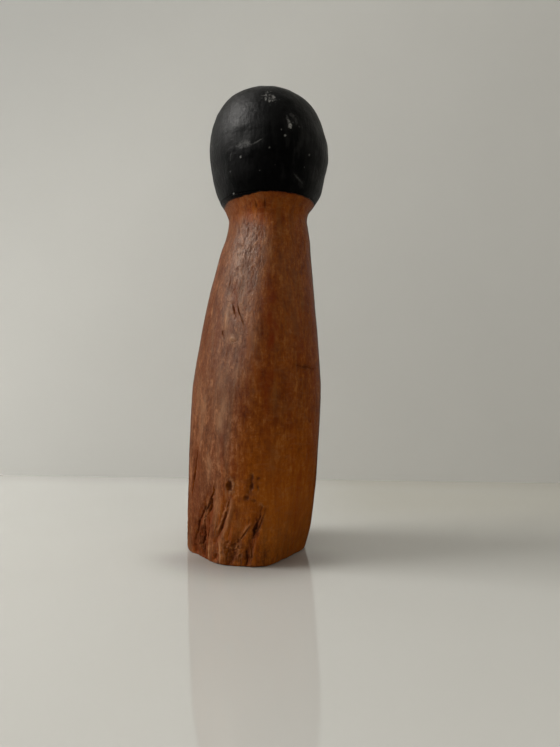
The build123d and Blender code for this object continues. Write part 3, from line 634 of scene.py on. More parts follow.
def mark_head(P, theta):
    """Slow form of the carved wood, then depth of paint marks, how pale each point is, and its wear and painted sheen.
    """
    x, y, z = P[..., 0], P[..., 1], P[..., 2]
    # flats left by the knife under the paint, and slow unevenness
    form = 0.05 * (np.clip(cells(x / 15.0, y / 15.0, z / 13.0, 131), 0, 1) ** 2 - 0.35)
    form += 0.45 * fbm(x / 17, y / 17, z / 17, 2, 141)
    form += 0.15 * fbm(x / 4.4, y / 4.4, z / 5.4, 2, 144)
    for turn, height, size, deep in (
        (-113.0, 240.5, 7.0, 0.42), (-101.0, 236.5, 4.2, 0.30), (-30.0, 247.0, 6.0, 0.35), (-6.0, 238.5, 4.2, -0.30), (-2.0, 231.0, 5.0, 0.30),
        (-88.0, 263.0, 6.5, 0.22), (40.0, 240.0, 8.0, 0.35), (95.0, 252.0, 7.0, 0.30), (140.0, 230.0, 8.0, 0.35), (170.0, 246.0, 6.0, 0.30),
    ):
        at = head_point(turn, height)
        form -= deep * np.exp(-(np.linalg.norm(P - at, axis=-1) / size) ** 2 * 1.6)
    calm = smooth((z - JOINT_Z) / 7.0)
    form = form * calm
    pale, wear_and_sheen, deep = np.zeros(z.shape), np.zeros(z.shape), np.zeros(z.shape)
    # brushed paint: fine strokes round and up, with a few runs
    stroke = fbm(x / 1.5 + 0.6 * noise(x / 9, y / 9, z / 9, 151), y / 1.5, z / 17.0, 3, 161)
    round_stroke = fbm(np.cos(theta) * 2.4, np.sin(theta) * 2.4, z / 1.15, 2, 171)
    pole = smooth((HEAD_TOP - 3.0 - z) / 6.0)
    deep += (0.046 * stroke + 0.016 * round_stroke) * pole
    deep += 0.040 * fbm(x / 2.1, y / 2.1, z / 2.4, 2, 181)
    for n, (turn, height, wide, tall, hollow, tone) in enumerate(CHIPS):
        at = head_point(turn, height)
        a = math.radians(turn)
        across = (P[..., 0] - at[0]) * -math.sin(a) + (P[..., 1] - at[1]) * math.cos(a)
        off = np.linalg.norm(P - at, axis=-1)
        m = off < 3.2 * max(wide, tall) + 0.6
        if not m.any():
            continue
        u = across[m]
        v = np.sqrt(np.clip(off[m] ** 2 - u**2, 0, None))
        q = np.hypot(u / wide, v / tall) * (1 + 0.38 * noise(P[..., 0][m] * 1.3, P[..., 1][m] * 1.3, P[..., 2][m] * 1.3, 700 + n))
        hole = np.clip((1.12 - q) * 3.2, 0, 1)
        deep[m] -= hollow * hole
        pale[m] = np.maximum(pale[m], tone * hole)
        deep[m] += 0.05 * np.exp(-(((q - 1.35) / 0.22) ** 2))
    for n, (path, width, hollow, tone) in enumerate(SCRATCHES):
        turns, heights = np.array(path).T
        t = np.linspace(0, 1, 5 * len(path))
        line = head_point(np.interp(t, np.linspace(0, 1, len(path)), turns), np.interp(t, np.linspace(0, 1, len(path)), heights))
        m = np.linalg.norm(P - line.mean(0), axis=-1) < np.linalg.norm(line - line.mean(0), axis=-1).max() + 3
        if not m.any():
            continue
        Q = P[m]
        best, where = np.full(len(Q), 1e9), np.zeros(len(Q))
        for i in range(len(line) - 1):
            d = line[i + 1] - line[i]
            k = np.clip(((Q - line[i]) @ d) / (d @ d), 0, 1)
            dist = np.linalg.norm(Q - line[i] - k[:, None] * d, axis=-1)
            near = dist < best
            best, where = np.where(near, dist, best), np.where(near, (i + k) / (len(line) - 1), where)
        taper = np.clip(np.sin(np.pi * np.clip(where, 0.03, 0.97)), 0, 1) ** 0.6
        broken = 0.60 + 0.75 * noise(Q[:, 0] / 0.9, Q[:, 1] / 0.9, Q[:, 2] / 0.9, 800 + n)
        line_in = np.clip(1 - best / (0.5 * width * taper + 0.05), 0, 1) * np.clip(broken, 0, 1)
        deep[m] -= hollow * line_in
        pale[m] = np.maximum(pale[m], tone * np.clip(line_in * 1.6, 0, 1))
    # the rubbed ring near the crown: broken pale specks round and inside a small circle
    at = head_point(-87.0, 263.8)
    off = np.linalg.norm(P - at, axis=-1)
    m = off < 6.5
    if m.any():
        Q = P[m]
        speck = noise(Q[:, 0] * 0.95, Q[:, 1] * 0.95, Q[:, 2] * 0.95, 901) + 0.6 * noise(Q[:, 0] * 2.1, Q[:, 1] * 2.1, Q[:, 2] * 2.1, 902)
        ring = np.exp(-(((off[m] - 2.6) / 1.1) ** 2)) + 0.5 * np.exp(-((off[m] / 1.1) ** 2))
        hole = np.clip((ring + speck * 0.85 - 0.66) * 1.7, 0, 1)
        deep[m] -= 0.2 * hole
        pale[m] = np.maximum(pale[m], 0.40 * hole)
        wear_and_sheen[m] = np.maximum(wear_and_sheen[m], np.clip(ring, 0, 1) * 0.6)
    # rubbed haze over the flat by the scratch and beside the bright chip; the two broad patches on the right at -44 and
    # -34 degrees are painted sheen, lighter grey where the paint catches the light
    for turn, height, size, tone in ((-111.0, 239.0, 6.0, 0.5), (-66.5, 250.0, 5.0, 0.9), (-56.0, 220.0, 5.0, 0.3), (-44.0, 240.0, 8.0, 0.8), (-34.0, 229.0, 8.0, 0.8), (30.0, 242.0, 6.0, 0.4), (120.0, 240.0, 7.0, 0.4), (90.0, 256.0, 6.0, 0.4)):
        at = head_point(turn, height)
        wear_and_sheen = np.maximum(wear_and_sheen, tone * np.exp(-(np.linalg.norm(P - at, axis=-1) / size) ** 2))
    # the brushed edge by the neck: a thin line of ground coat, broken into specks
    near = np.clip(1 - (z - JOINT_Z) / 0.5, 0, 1)
    broken = np.clip(noise(np.cos(theta) * 14, np.sin(theta) * 14, 0.5, 921) * 3.0 - 1.3, 0, 1)
    pale = np.maximum(pale, 0.12 * near * broken * smooth((np.cos(theta) + 0.35) / 0.3))
    return form, deep, pale, wear_and_sheen


def build_head():
    """The wooden ball, and the paint over it as a shell with chips in its outside."""
    arc, zs = meridian()
    def rings(pitch, cols):
        rows = int(arc[-1] / pitch)
        at = np.linspace(arc[-1], 0, rows + 1)[:-1]
        z = np.interp(at, arc, zs)
        z[0] = JOINT_Z
        theta = np.linspace(-np.pi, np.pi, cols, endpoint=False)
        T, Z = np.meshgrid(theta, z)
        return T, head_point(np.degrees(T), Z)

    def outward(P):
        du = np.roll(P, -1, 1) - np.roll(P, 1, 1)
        dv = np.gradient(P, axis=0)
        n = np.cross(du, dv)
        return n / np.maximum(np.linalg.norm(n, axis=-1, keepdims=True), 1e-12)

    def skinned(pitch, cols):
        T, P = rings(pitch, cols)
        form, deep, pale, wear_and_sheen = mark_head(P, T)
        N = outward(P)
        N[0, :, 2] = 0  # the bottom ring stays in the joint plane
        N[0] /= np.linalg.norm(N[0], axis=-1, keepdims=True)
        base = P + N * form[..., None]
        return T, base, N, deep, pale, wear_and_sheen

    # paint shell: outside up, inside down
    T, base, N, deep, pale, wear_and_sheen = skinned(0.42, 560)
    fade = smooth((base[..., 2] - JOINT_Z) / 0.5)[..., None]
    outside = base + N * (deep[..., None] * (0.35 + 0.65 * fade))
    lip_in = outside[0].copy()
    inward = np.stack([np.cos(T[0]), np.sin(T[0]), np.zeros(T.shape[1])], -1)
    outside[0] = outside[0] - inward * 0.07
    outside[0, :, 2] = JOINT_Z + 0.01
    inner = base - N * PAINT
    inner[0, :, 2] = JOINT_Z + 0.01
    rows_in = np.unique(np.concatenate([[0, 1], np.arange(3, base.shape[0], 3), [base.shape[0] - 1]]))
    inside = inner[rows_in]
    crown_out = np.array([outside[-1, :, 0].mean(), outside[-1, :, 1].mean(), outside[-1, :, 2].max() + 0.004])
    crown_in = np.array([inside[-1, :, 0].mean(), inside[-1, :, 1].mean(), inside[-1, :, 2].max() + 0.004])
    shell = np.concatenate([inside[::-1], outside])
    zero = np.zeros(inside.shape[:2])
    layers = {
        "pale": np.concatenate([zero, pale]),
        "wear_and_sheen": np.concatenate([zero, wear_and_sheen]),
        "hollow": np.concatenate([zero, deep]),
        "inner": np.concatenate([zero + 1, np.zeros(pale.shape)]),
    }
    paint = closed_mesh("paint", shell, layers, crown_in, crown_out)

    # the ball of wood inside it
    T, base, N, deep, pale, wear_and_sheen = skinned(0.9, 256)
    ball = base - N * (PAINT + 0.02)
    theta = T[0]
    ball[0, :, 0] -= 1.2 * np.cos(theta)
    ball[0, :, 1] -= 1.2 * np.sin(theta)
    ball[0, :, 2] = JOINT_Z + 0.01
    flat = bore_rings(theta, JOINT_Z + 0.01, 1, len(theta))
    ring = ball[0].copy()
    ring[:, :2] = np.array([BORE_X, 0]) + (ring[:, :2] - np.array([BORE_X, 0])) * 0.6
    rings_all = np.concatenate([np.array(flat)[::-1], ring[None], ball])
    crown = np.array([ball[-1, :, 0].mean(), ball[-1, :, 1].mean(), ball[-1, :, 2].max() + 0.004])
    core = closed_mesh("head_ball", rings_all, {}, (BORE_X, 0.0, JOINT_Z + BORE_DEPTH), crown)
    return core, paint

# ------------------------------------------------------------------ materials
class Graph:
    """A material's or the world's nodes, built from calls that each return their output socket."""

    def __init__(self, tree):
        self.tree = tree
        tree.nodes.clear()

    def add(self, kind, *values, out=0, **props):
        node = self.tree.nodes.new(kind)
        named = {}
        for key, value in props.items():
            if hasattr(node, key):
                setattr(node, key, value)
            else:
                named[key.replace("_", " ")] = value
        for i, value in enumerate(values):
            if value is not None:
                self.feed(node.inputs[i], value)
        for key, value in named.items():
            self.feed(node.inputs[key], value)
        return node.outputs[out]

    def feed(self, socket, value):
        if isinstance(value, bpy.types.NodeSocket):
            self.tree.links.new(value, socket)
        else:
            socket.default_value = value

    def math(self, what, a, b=None, c=None, clamp=False):
        return self.add("ShaderNodeMath", a, b, c, operation=what, use_clamp=clamp)

    def vector(self, what, a, b=None, out=0):
        return self.add("ShaderNodeVectorMath", a, b, operation=what, out=out)

    def scaled(self, vector, x, y, z, dx=0.0, dy=0.0, dz=0.0):
        """The vector times (x, y, z), then moved."""
        return self.add("ShaderNodeVectorMath", vector, (x, y, z), (dx, dy, dz), operation="MULTIPLY_ADD")

    def noise(self, vector, scale=1.0, detail=3.0, rough=0.5, warp=0.0):
        return self.add(
            "ShaderNodeTexNoise", noise_dimensions="3D", normalize=True, Vector=vector, Scale=scale, Detail=detail, Roughness=rough, Distortion=warp
        )

    def remap(self, value, a, b, c=0.0, d=1.0, kind="SMOOTHSTEP"):
        return self.add("ShaderNodeMapRange", value, a, b, c, d, interpolation_type=kind, clamp=True)

    def mix(self, share, a, b, how="MIX"):
        node = self.tree.nodes.new("ShaderNodeMix")
        node.data_type, node.blend_type, node.clamp_factor = "RGBA", how, True
        self.feed(node.inputs[0], share)
        for socket, value in ((node.inputs[6], a), (node.inputs[7], b)):
            if isinstance(value, tuple) and len(value) == 3:
                value = (*value, 1.0)
            self.feed(socket, value)
        return node.outputs[2]

    def attribute(self, name):
        return self.add("ShaderNodeAttribute", attribute_name=name, attribute_type="GEOMETRY", out=2)


def material(name):
    m = bpy.data.materials.new(name)
    m.use_nodes = True
    g = Graph(m.node_tree)
    where = g.add("ShaderNodeTexCoord", out=3)
    return m, g, g.scaled(where, 1000.0, 1000.0, 1000.0)  # millimetres


def finish_material(g, surface):
    out = g.tree.nodes.new("ShaderNodeOutputMaterial")
    g.tree.links.new(surface, out.inputs[0])


def waxed_wood(name):
    m, g, mm = material(name)
    xyz = g.tree.nodes.new("ShaderNodeSeparateXYZ")
    g.tree.links.new(mm, xyz.inputs[0])
    x, y, z = xyz.outputs
    # growth rings about a line that leans and wanders beside the trunk, so that their edges run up the flanks
    leaned = g.scaled(mm, 1.0, 1.0, 0.0, 17.0, -8.0, 0.0)
    lean = g.add("ShaderNodeCombineXYZ", g.math("MULTIPLY", z, -0.055), g.math("MULTIPLY", z, 0.018), 0.0)
    leaned = g.vector("ADD", leaned, lean)
    wander = g.noise(g.scaled(mm, 0.05, 0.05, 0.012), 1.0, 3.0, 0.55)
    reach = g.vector("LENGTH", leaned, out=1)
    reach = g.math("MULTIPLY_ADD", wander, 15.0, reach)
    rings = g.math("SINE", g.math("MULTIPLY", reach, 2.35))
    rings = g.math("MULTIPLY_ADD", rings, 0.5, 0.5)
    # tone of the wood at several sizes, the larger ones longer along the grain than across it
    fibre = g.noise(g.scaled(mm, 1.5, 1.5, 0.12), 1.0, 4.0, 0.62, 0.5)
    streak = g.noise(g.scaled(mm, 0.42, 0.42, 0.030, 5.0), 1.0, 3.0, 0.6, 0.5)
    broad = g.noise(g.scaled(mm, 0.075, 0.075, 0.022, 0.0, 9.0), 1.0, 4.0, 0.6, 0.8)
    patch = g.noise(g.scaled(mm, 0.20, 0.20, 0.11, 3.0), 1.0, 3.0, 0.6, 0.6)
    mottle = g.noise(g.scaled(mm, 0.52, 0.52, 0.33, 8.0), 1.0, 3.0, 0.62, 0.5)
    speckle = g.noise(g.scaled(mm, 1.10, 1.10, 0.78, 1.0, 2.0), 1.0, 2.0, 0.6, 0.3)
    pores = g.remap(g.noise(g.scaled(mm, 1.35, 1.35, 0.60, 7.0), 1.0, 2.0, 0.5, 0.2), 0.57, 0.68)
    flecks = g.remap(g.noise(g.scaled(mm, 0.95, 0.95, 0.50, 2.0), 1.0, 2.0, 0.55, 0.4), 0.57, 0.70)
    # the flank to the right of the ridge, and the wood low down, are more orange and more even
    side = g.add("ShaderNodeNewGeometry", out=1)
    facing = g.vector("DOT_PRODUCT", side, (0.86, -0.50, 0.0), out=1)
    low_down = g.remap(z, 75.0, 22.0)
    warm = g.math("MULTIPLY_ADD", broad, 0.5, facing)
    warm = g.math("MULTIPLY_ADD", low_down, 0.30, warm)
    neck = g.remap(z, 191.0, 201.0)
    warm = g.math("MULTIPLY_ADD", neck, 0.55, warm)
    warm = g.remap(warm, 0.18, 1.02)
    tone = g.math("MULTIPLY", patch, 0.42)
    tone = g.math("MULTIPLY_ADD", mottle, 0.36, tone)
    tone = g.math("MULTIPLY_ADD", speckle, 0.15, tone)
    tone = g.math("MULTIPLY_ADD", fibre, 0.10, tone)
    tone = g.math("MULTIPLY_ADD", streak, 0.14, tone)
    tone = g.math("MULTIPLY_ADD", g.math("SUBTRACT", g.noise(g.scaled(mm, 0.14, 0.14, 0.70, 5.0), 1.0, 3.0, 0.6, 0.3), 0.5), 0.06, tone)
    fine_line = g.noise(g.scaled(mm, 1.05, 1.05, 0.05, 3.0, 6.0), 1.0, 2.0, 0.55, 0.3)
    tone = g.math("MULTIPLY_ADD", g.math("SUBTRACT", fine_line, 0.5), g.math("MULTIPLY_ADD", warm, 0.10, 0.03), tone)
    tone = g.math("MULTIPLY_ADD", rings, 0.03, tone)
    tone = g.math("MULTIPLY_ADD", g.math("MULTIPLY", neck, 0.28), g.math("SUBTRACT", 0.590, tone), tone)
    share = g.remap(tone, 0.487, 0.723, 0.0, 1.0, "LINEAR")

    def ramp(stops):
        node = g.tree.nodes.new("ShaderNodeValToRGB")
        node.color_ramp.interpolation = "EASE"
        while len(node.color_ramp.elements) < len(stops):
            node.color_ramp.elements.new(0.5)
        for stop, (at, colour) in zip(node.color_ramp.elements, stops):
            stop.position, stop.color = at, (*colour, 1)
        g.tree.links.new(share, node.inputs[0])
        return node.outputs[0]

    brown = ramp(((0.0, (0.058, 0.018, 0.008)), (0.35, (0.096, 0.031, 0.012)), (0.60, (0.140, 0.050, 0.020)), (1.0, (0.245, 0.107, 0.050))))
    orange = ramp(((0.0, (0.125, 0.022, 0.0010)), (0.35, (0.190, 0.039, 0.0012)), (0.65, (0.250, 0.060, 0.0030)), (1.0, (0.335, 0.112, 0.0220))))
    colour = g.mix(warm, brown, orange)
    pale_patch = g.mix(warm, (0.215, 0.098, 0.048), (0.33, 0.085, 0.006))
    dark_patch = g.mix(warm, (0.068, 0.020, 0.011), (0.155, 0.028, 0.001))
    colour = g.mix(g.math("MULTIPLY", g.remap(broad, 0.53, 0.70), 0.34), colour, pale_patch)
    colour = g.mix(g.math("MULTIPLY", g.remap(broad, 0.45, 0.30), 0.42), colour, dark_patch)
    colour = g.mix(g.math("MULTIPLY", pores, g.math("MULTIPLY_ADD", warm, -0.05, 0.27)), colour, g.mix(warm, (0.038, 0.010, 0.005), (0.080, 0.016, 0.001)))
    colour = g.mix(g.math("MULTIPLY", flecks, g.math("MULTIPLY_ADD", warm, 0.02, 0.11)), colour, g.mix(warm, (0.30, 0.16, 0.088), (0.33, 0.125, 0.035)))
    colour = g.mix(g.math("MULTIPLY", g.math("MULTIPLY", g.remap(facing, 0.10, 0.80), g.remap(z, 100.0, 25.0)), 0.46), colour, (0.44, 0.125, 0.010))
    # long bands up the grain, some redder and some greyer
    band = g.noise(g.scaled(mm, 0.30, 0.30, 0.013, 11.0, 4.0), 1.0, 3.0, 0.55, 0.4)
    colour = g.mix(g.math("MULTIPLY", g.remap(band, 0.53, 0.66), 0.42), colour, g.mix(warm, (0.118, 0.029, 0.011), (0.205, 0.032, 0.0008)))
    colour = g.mix(g.math("MULTIPLY", g.remap(band, 0.46, 0.33), 0.34), colour, g.mix(warm, (0.165, 0.085, 0.045), (0.195, 0.075, 0.018)))
    # raw torn wood at the foot, pale lifted slivers, and red-brown wood with dirt in the splits
    torn, lip, cavity, relief, furrow, stain, overrun, ruddy, faded = (
        g.attribute(n) for n in ("torn", "lip", "cavity", "relief", "furrow", "stain", "overrun", "ruddy", "faded")
    )
    ripple = g.noise(g.scaled(mm, 0.17, 0.17, 0.50, 2.0), 1.0, 3.0, 0.6, 0.6)
    colour = g.mix(g.math("MULTIPLY", g.remap(ripple, 0.48, 0.70), g.math("MULTIPLY", warm, 0.20)), colour, (0.31, 0.135, 0.055))
    colour = g.mix(g.math("MULTIPLY", ruddy, 0.66), colour, g.mix(warm, (0.105, 0.027, 0.008), (0.185, 0.024, 0.0004)))
    colour = g.mix(g.math("MULTIPLY", faded, g.math("MULTIPLY_ADD", warm, -0.15, 0.62)), colour, g.mix(warm, (0.25, 0.132, 0.070), (0.200, 0.074, 0.022)))
    # painted shade: edges seen along the surface are darkened and reddened
    edge_on = g.add("ShaderNodeLayerWeight", Blend=0.5, out=1)
    colour = g.mix(g.remap(edge_on, 0.66, 1.0, 0.0, 0.62), colour, g.mix(0.6, (0.075, 0.018, 0.003), (0.0, 0.0, 0.0)))
    # painted shade: the wood high on the left is darkened to brown
    painted_left_shade = g.math("MULTIPLY", g.remap(g.vector("DOT_PRODUCT", side, (-0.97, -0.22, 0.0), out=1), 0.25, 0.9), g.remap(z, 40.0, 150.0))
    colour = g.mix(g.math("MULTIPLY", painted_left_shade, 0.34), colour, (0.080, 0.022, 0.006))
    # painted shade: a further darkening right at the outline
    colour = g.mix(g.remap(edge_on, 0.90, 1.0, 0.0, 0.25), colour, (0.012, 0.005, 0.002))
    # painted shade: a dark band along the right-hand outline, weaker below about 100 mm
    rim = g.math("MULTIPLY", g.remap(edge_on, 0.70, 1.0, 0.0, 0.62), g.remap(g.vector("DOT_PRODUCT", side, (0.97, -0.22, 0.0), out=1), 0.70, 0.92))
    colour = g.mix(g.math("MULTIPLY", rim, g.remap(z, 92.0, 112.0, 0.35, 1.0)), colour, (0.020, 0.007, 0.002))
    # painted shade: a band facing front-left, between about 85 and 145 mm high, is darkened
    painted_mid_shade = g.math("MULTIPLY", g.remap(z, 84.0, 104.0), g.remap(z, 146.0, 128.0))
    painted_mid_shade = g.math("MULTIPLY", painted_mid_shade, g.remap(g.vector("DOT_PRODUCT", side, (-0.55, -0.83, 0.0), out=1), 0.70, 0.95))
    colour = g.mix(g.math("MULTIPLY", painted_mid_shade, 0.20), colour, (0.085, 0.024, 0.007))
    dirt = g.remap(g.noise(g.scaled(mm, 0.55, 0.55, 0.34, 4.0), 1.0, 4.0, 0.68, 0.6), 0.42, 0.60)
    colour = g.mix(g.math("MULTIPLY", g.math("MULTIPLY", torn, dirt), 0.45), colour, (0.085, 0.026, 0.006))
    colour = g.mix(g.math("MULTIPLY", furrow, g.math("MULTIPLY_ADD", dirt, 0.50, 0.40)), colour, (0.122, 0.020, 0.0025))
    colour = g.mix(g.math("MULTIPLY", lip, g.math("MULTIPLY_ADD", mottle, 0.9, 0.05)), colour, (0.34, 0.165, 0.072))
    colour = g.mix(g.math("MULTIPLY", g.remap(relief, -0.6, -2.4), 0.40), colour, (0.070, 0.015, 0.004))
    colour = g.mix(g.math("MULTIPLY", stain, 0.74), colour, (0.058, 0.0165, 0.0065))
    colour = g.mix(g.math("MULTIPLY", cavity, 0.55), colour, (0.036, 0.011, 0.005))
    # wax: polished high up, worn thin toward the foot, dull in the pores and splits
    rough = g.math("MULTIPLY_ADD", mottle, 0.26, 0.325)
    rough = g.math("MULTIPLY_ADD", pores, 0.15, rough)
    rough = g.math("MULTIPLY_ADD", torn, 0.14, rough)
    rough = g.math("MULTIPLY_ADD", cavity, 0.35, rough, clamp=True)
    polish = g.remap(z, 62.0, 172.0, 0.10, 0.66, "LINEAR")
    polish = g.math("MULTIPLY", polish, g.remap(z, 176.0, 186.0, 1.12, 0.74))
    polish = g.math("MULTIPLY", polish, g.remap(z, 196.0, 204.0, 1.0, 0.55))
    polish = g.math("MULTIPLY", polish, g.remap(facing, 0.05, 0.70, 1.0, 0.50))
    polish = g.math("MULTIPLY", polish, g.remap(edge_on, 0.55, 1.0, 1.0, 0.35))
    polish = g.math("MULTIPLY", polish, g.remap(g.vector("DOT_PRODUCT", side, (-0.97, -0.22, 0.0), out=1), 0.66, 0.93, 1.0, 0.12))
    polish = g.math("MULTIPLY", polish, g.math("MULTIPLY_ADD", cavity, -0.8, 1.0))
    polish = g.math("MULTIPLY", polish, g.math("MULTIPLY_ADD", stain, -0.75, 1.0))
    # fine relief: open pores, fibre and a slight chatter across them
    chatter = g.noise(g.scaled(mm, 0.24, 0.24, 0.72, 6.0), 1.0, 3.0, 0.55, 0.4)
    height = g.math("MULTIPLY", fibre, 0.30)
    height = g.math("MULTIPLY_ADD", pores, -0.45, height)
    height = g.math("MULTIPLY_ADD", speckle, 0.26, height)
    height = g.math("MULTIPLY_ADD", mottle, 0.70, height)
    height = g.math("MULTIPLY_ADD", chatter, 0.22, height)
    height = g.math("MULTIPLY_ADD", g.noise(mm, 2.4, 3.0, 0.6), 0.14, height)
    bump = g.add("ShaderNodeBump", Strength=0.65, Distance=0.00042, Height=height)
    bare = g.add("ShaderNodeBsdfPrincipled", Base_Color=colour, Roughness=rough, Normal=bump, Specular_IOR_Level=polish, Specular_Tint=(1.0, 0.85, 0.72, 1.0))
    painted = g.add(
        "ShaderNodeBsdfPrincipled", Base_Color=(0.0018, 0.0018, 0.0020, 1.0), Roughness=0.45, Normal=bump, Specular_IOR_Level=0.12
    )
    finish_material(g, g.add("ShaderNodeMixShader", overrun, bare, painted))
    return m


def black_paint(name):
    m, g, mm = material(name)
    pale, wear_and_sheen, hollow, inner = (g.attribute(n) for n in ("pale", "wear_and_sheen", "hollow", "inner"))
    strokes = g.noise(g.scaled(mm, 0.75, 0.75, 0.060), 1.0, 4.0, 0.6, 0.3)
    hatch = g.noise(g.scaled(mm, 0.16, 0.16, 1.30, 4.0), 1.0, 3.0, 0.6, 0.2)
    cloud = g.noise(mm, 0.10, 4.0, 0.6, 0.4)
    dust = g.remap(g.noise(mm, 1.7, 2.0, 0.5), 0.70, 0.80)
    black = g.mix(g.remap(strokes, 0.35, 0.7), (0.0008, 0.0008, 0.0009), (0.0024, 0.0025, 0.0025))
    # real wear and a painted sheen both lighten the black toward grey
    black = g.mix(g.math("MULTIPLY", wear_and_sheen, g.remap(cloud, 0.30, 0.70, 0.15, 0.9)), black, (0.016, 0.016, 0.016))
    # painted sheen: a lighter grey haze on the side of the head that faces right
    sheen_haze = g.remap(g.noise(g.scaled(mm, 0.34, 0.34, 0.055, 9.0), 1.0, 4.0, 0.62, 0.4), 0.50, 0.66)
    right = g.remap(g.vector("DOT_PRODUCT", g.add("ShaderNodeNewGeometry", out=1), (0.86, -0.50, 0.0), out=1), 0.45, 0.95)
    black = g.mix(g.math("MULTIPLY", g.math("MULTIPLY", sheen_haze, right), 0.55), black, (0.022, 0.022, 0.021))
    black = g.mix(g.math("MULTIPLY", dust, 0.18), black, (0.11, 0.11, 0.105))
    ground = g.mix(g.remap(g.noise(mm, 1.1, 3.0, 0.6), 0.35, 0.65), (0.30, 0.295, 0.28), (0.60, 0.59, 0.56))
    colour = g.mix(pale, black, ground)
    colour = g.mix(inner, colour, (0.02, 0.02, 0.02))
    rough = g.math("MULTIPLY_ADD", strokes, 0.20, 0.25)
    rough = g.math("MULTIPLY_ADD", cloud, 0.22, rough)
    rough = g.math("MULTIPLY_ADD", wear_and_sheen, 0.14, rough)
    rough = g.math("MULTIPLY_ADD", pale, 0.30, rough, clamp=True)
    height = g.math("MULTIPLY", strokes, 0.7)
    height = g.math("MULTIPLY_ADD", hatch, 0.20, height)
    height = g.math("MULTIPLY_ADD", g.noise(mm, 0.55, 3.0, 0.55), 0.7, height)
    height = g.math("MULTIPLY_ADD", dust, 0.25, height)
    bump = g.add("ShaderNodeBump", Strength=0.72, Distance=0.00028, Height=height)
    edge_on = g.add("ShaderNodeLayerWeight", Blend=0.5, out=1)
    gloss = g.remap(edge_on, 0.45, 1.0, 0.24, 0.06)
    up = g.tree.nodes.new("ShaderNodeSeparateXYZ")
    g.tree.links.new(g.add("ShaderNodeNewGeometry", out=1), up.inputs[0])
    gloss = g.math("MULTIPLY", gloss, g.remap(up.outputs[2], 0.45, 0.95, 1.0, 2.0, "LINEAR"))
    gloss = g.math("MULTIPLY", gloss, g.remap(up.outputs[2], -0.30, 0.15, 0.70, 1.0, "LINEAR"))
    where = g.tree.nodes.new("ShaderNodeSeparateXYZ")
    g.tree.links.new(mm, where.inputs[0])
    gloss = g.math("MULTIPLY", gloss, g.remap(where.outputs[2], 212.1, 213.2, 0.55, 1.0))
    surface = g.add("ShaderNodeBsdfPrincipled", Base_Color=colour, Roughness=rough, Normal=bump, Specular_IOR_Level=gloss)
    finish_material(g, surface)
    return m


def bare_wood(name, dark, light, scale):
    m, g, mm = material(name)
    fine = g.noise(g.scaled(mm, 1.4 * scale, 1.4 * scale, 0.05), 1.0, 4.0, 0.6, 0.3)
    rings = g.vector("LENGTH", g.scaled(mm, 1.0, 1.0, 0.0, 6.0, 3.0, 0.0), out=1)
    rings = g.math("MULTIPLY_ADD", g.math("SINE", g.math("MULTIPLY", rings, 3.1)), 0.5, 0.5)
    share = g.math("ADD", g.math("MULTIPLY", fine, 0.75), g.math("MULTIPLY", rings, 0.25))
    colour = g.mix(g.remap(share, 0.3, 0.75), dark, light)
    bump = g.add("ShaderNodeBump", Strength=0.4, Distance=0.0002, Height=fine)
    surface = g.add("ShaderNodeBsdfPrincipled", Base_Color=colour, Roughness=g.math("MULTIPLY_ADD", fine, 0.25, 0.5), Normal=bump)
    finish_material(g, surface)
    return m

# ------------------------------------------------------------------ the figure
trunk = build_trunk()
head_ball, paint = build_head()
wood = waxed_wood("waxed_wood")
trunk.data.materials.append(wood)
paint.data.materials.append(black_paint("black_paint"))
head_ball.data.materials.append(bare_wood("head_wood", (0.22, 0.10, 0.045), (0.46, 0.27, 0.14), 1.0))
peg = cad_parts["neck_dowel"]
peg_wood = bare_wood("peg_wood", (0.42, 0.27, 0.14), (0.70, 0.52, 0.32), 1.6)
if not peg.material_slots:
    peg.data.materials.append(peg_wood)
for slot in peg.material_slots:
    slot.link = "OBJECT"
    slot.material = peg_wood
for piece, node, slot in ((trunk, "body", "waxed_wood"), (head_ball, "head", "head_wood"), (paint, "paint_coat", "black_paint")):
    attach(piece, "root")
    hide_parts(node)


# ------------------------------------------------------------------ stage, light and camera
def sheet(name, corners):
    mesh = bpy.data.meshes.new(name)
    mesh.from_pydata(corners, [], [(0, 1, 2, 3)])
    obj = bpy.data.objects.new(name, mesh)
    bpy.context.scene.collection.objects.link(obj)
    return obj


floor = sheet("floor", [(-3.0, -3.0, 0), (3.0, -3.0, 0), (3.0, 3.0, 0), (-3.0, 3.0, 0)])
m, g, mm = material("table_top")
tint = g.noise(mm, 0.010, 3.0, 0.5)
colour = g.mix(tint, (0.580, 0.571, 0.534), (0.605, 0.60, 0.569))
rough = g.math("MULTIPLY_ADD", g.noise(mm, 0.03, 3.0, 0.5), 0.03, 0.022)
# painted contact shade round anything that stands on the table, from an occlusion node
shade = g.add("ShaderNodeAmbientOcclusion", samples=4, Distance=0.050, Normal=(0.62, 0.60, 0.506), out=1)
colour = g.mix(g.remap(shade, 1.0, 0.30, 0.0, 0.30), colour, (0.10, 0.085, 0.070))
xyz = g.tree.nodes.new("ShaderNodeSeparateXYZ")
g.tree.links.new(mm, xyz.inputs[0])
# painted shade: the table is darker and warmer toward the back right
painted_far_shade = g.math("MULTIPLY", g.remap(xyz.outputs[0], 10.0, 110.0), g.remap(xyz.outputs[1], 0.0, 120.0))
colour = g.mix(g.math("MULTIPLY", painted_far_shade, 0.42), colour, (0.40, 0.375, 0.28))
# painted shadow: the table darkens just in front of the foot, fading out by about 74 mm
painted_foot_shadow = g.remap(g.vector("LENGTH", g.scaled(mm, 1.0, 1.0, 0.0, -2.0, -4.0, 0.0), out=1), 32.0, 74.0, 0.46, 0.0)
painted_foot_shadow = g.math("MULTIPLY", painted_foot_shadow, g.remap(xyz.outputs[1], 0.0, -28.0))
colour = g.mix(painted_foot_shadow, colour, (0.11, 0.080, 0.055))
finish_material(g, g.add("ShaderNodeBsdfPrincipled", Base_Color=colour, Roughness=rough, IOR=1.9))
floor.data.materials.append(m)
floor.visible_glossy = False  # the figure shows no table in its sheen

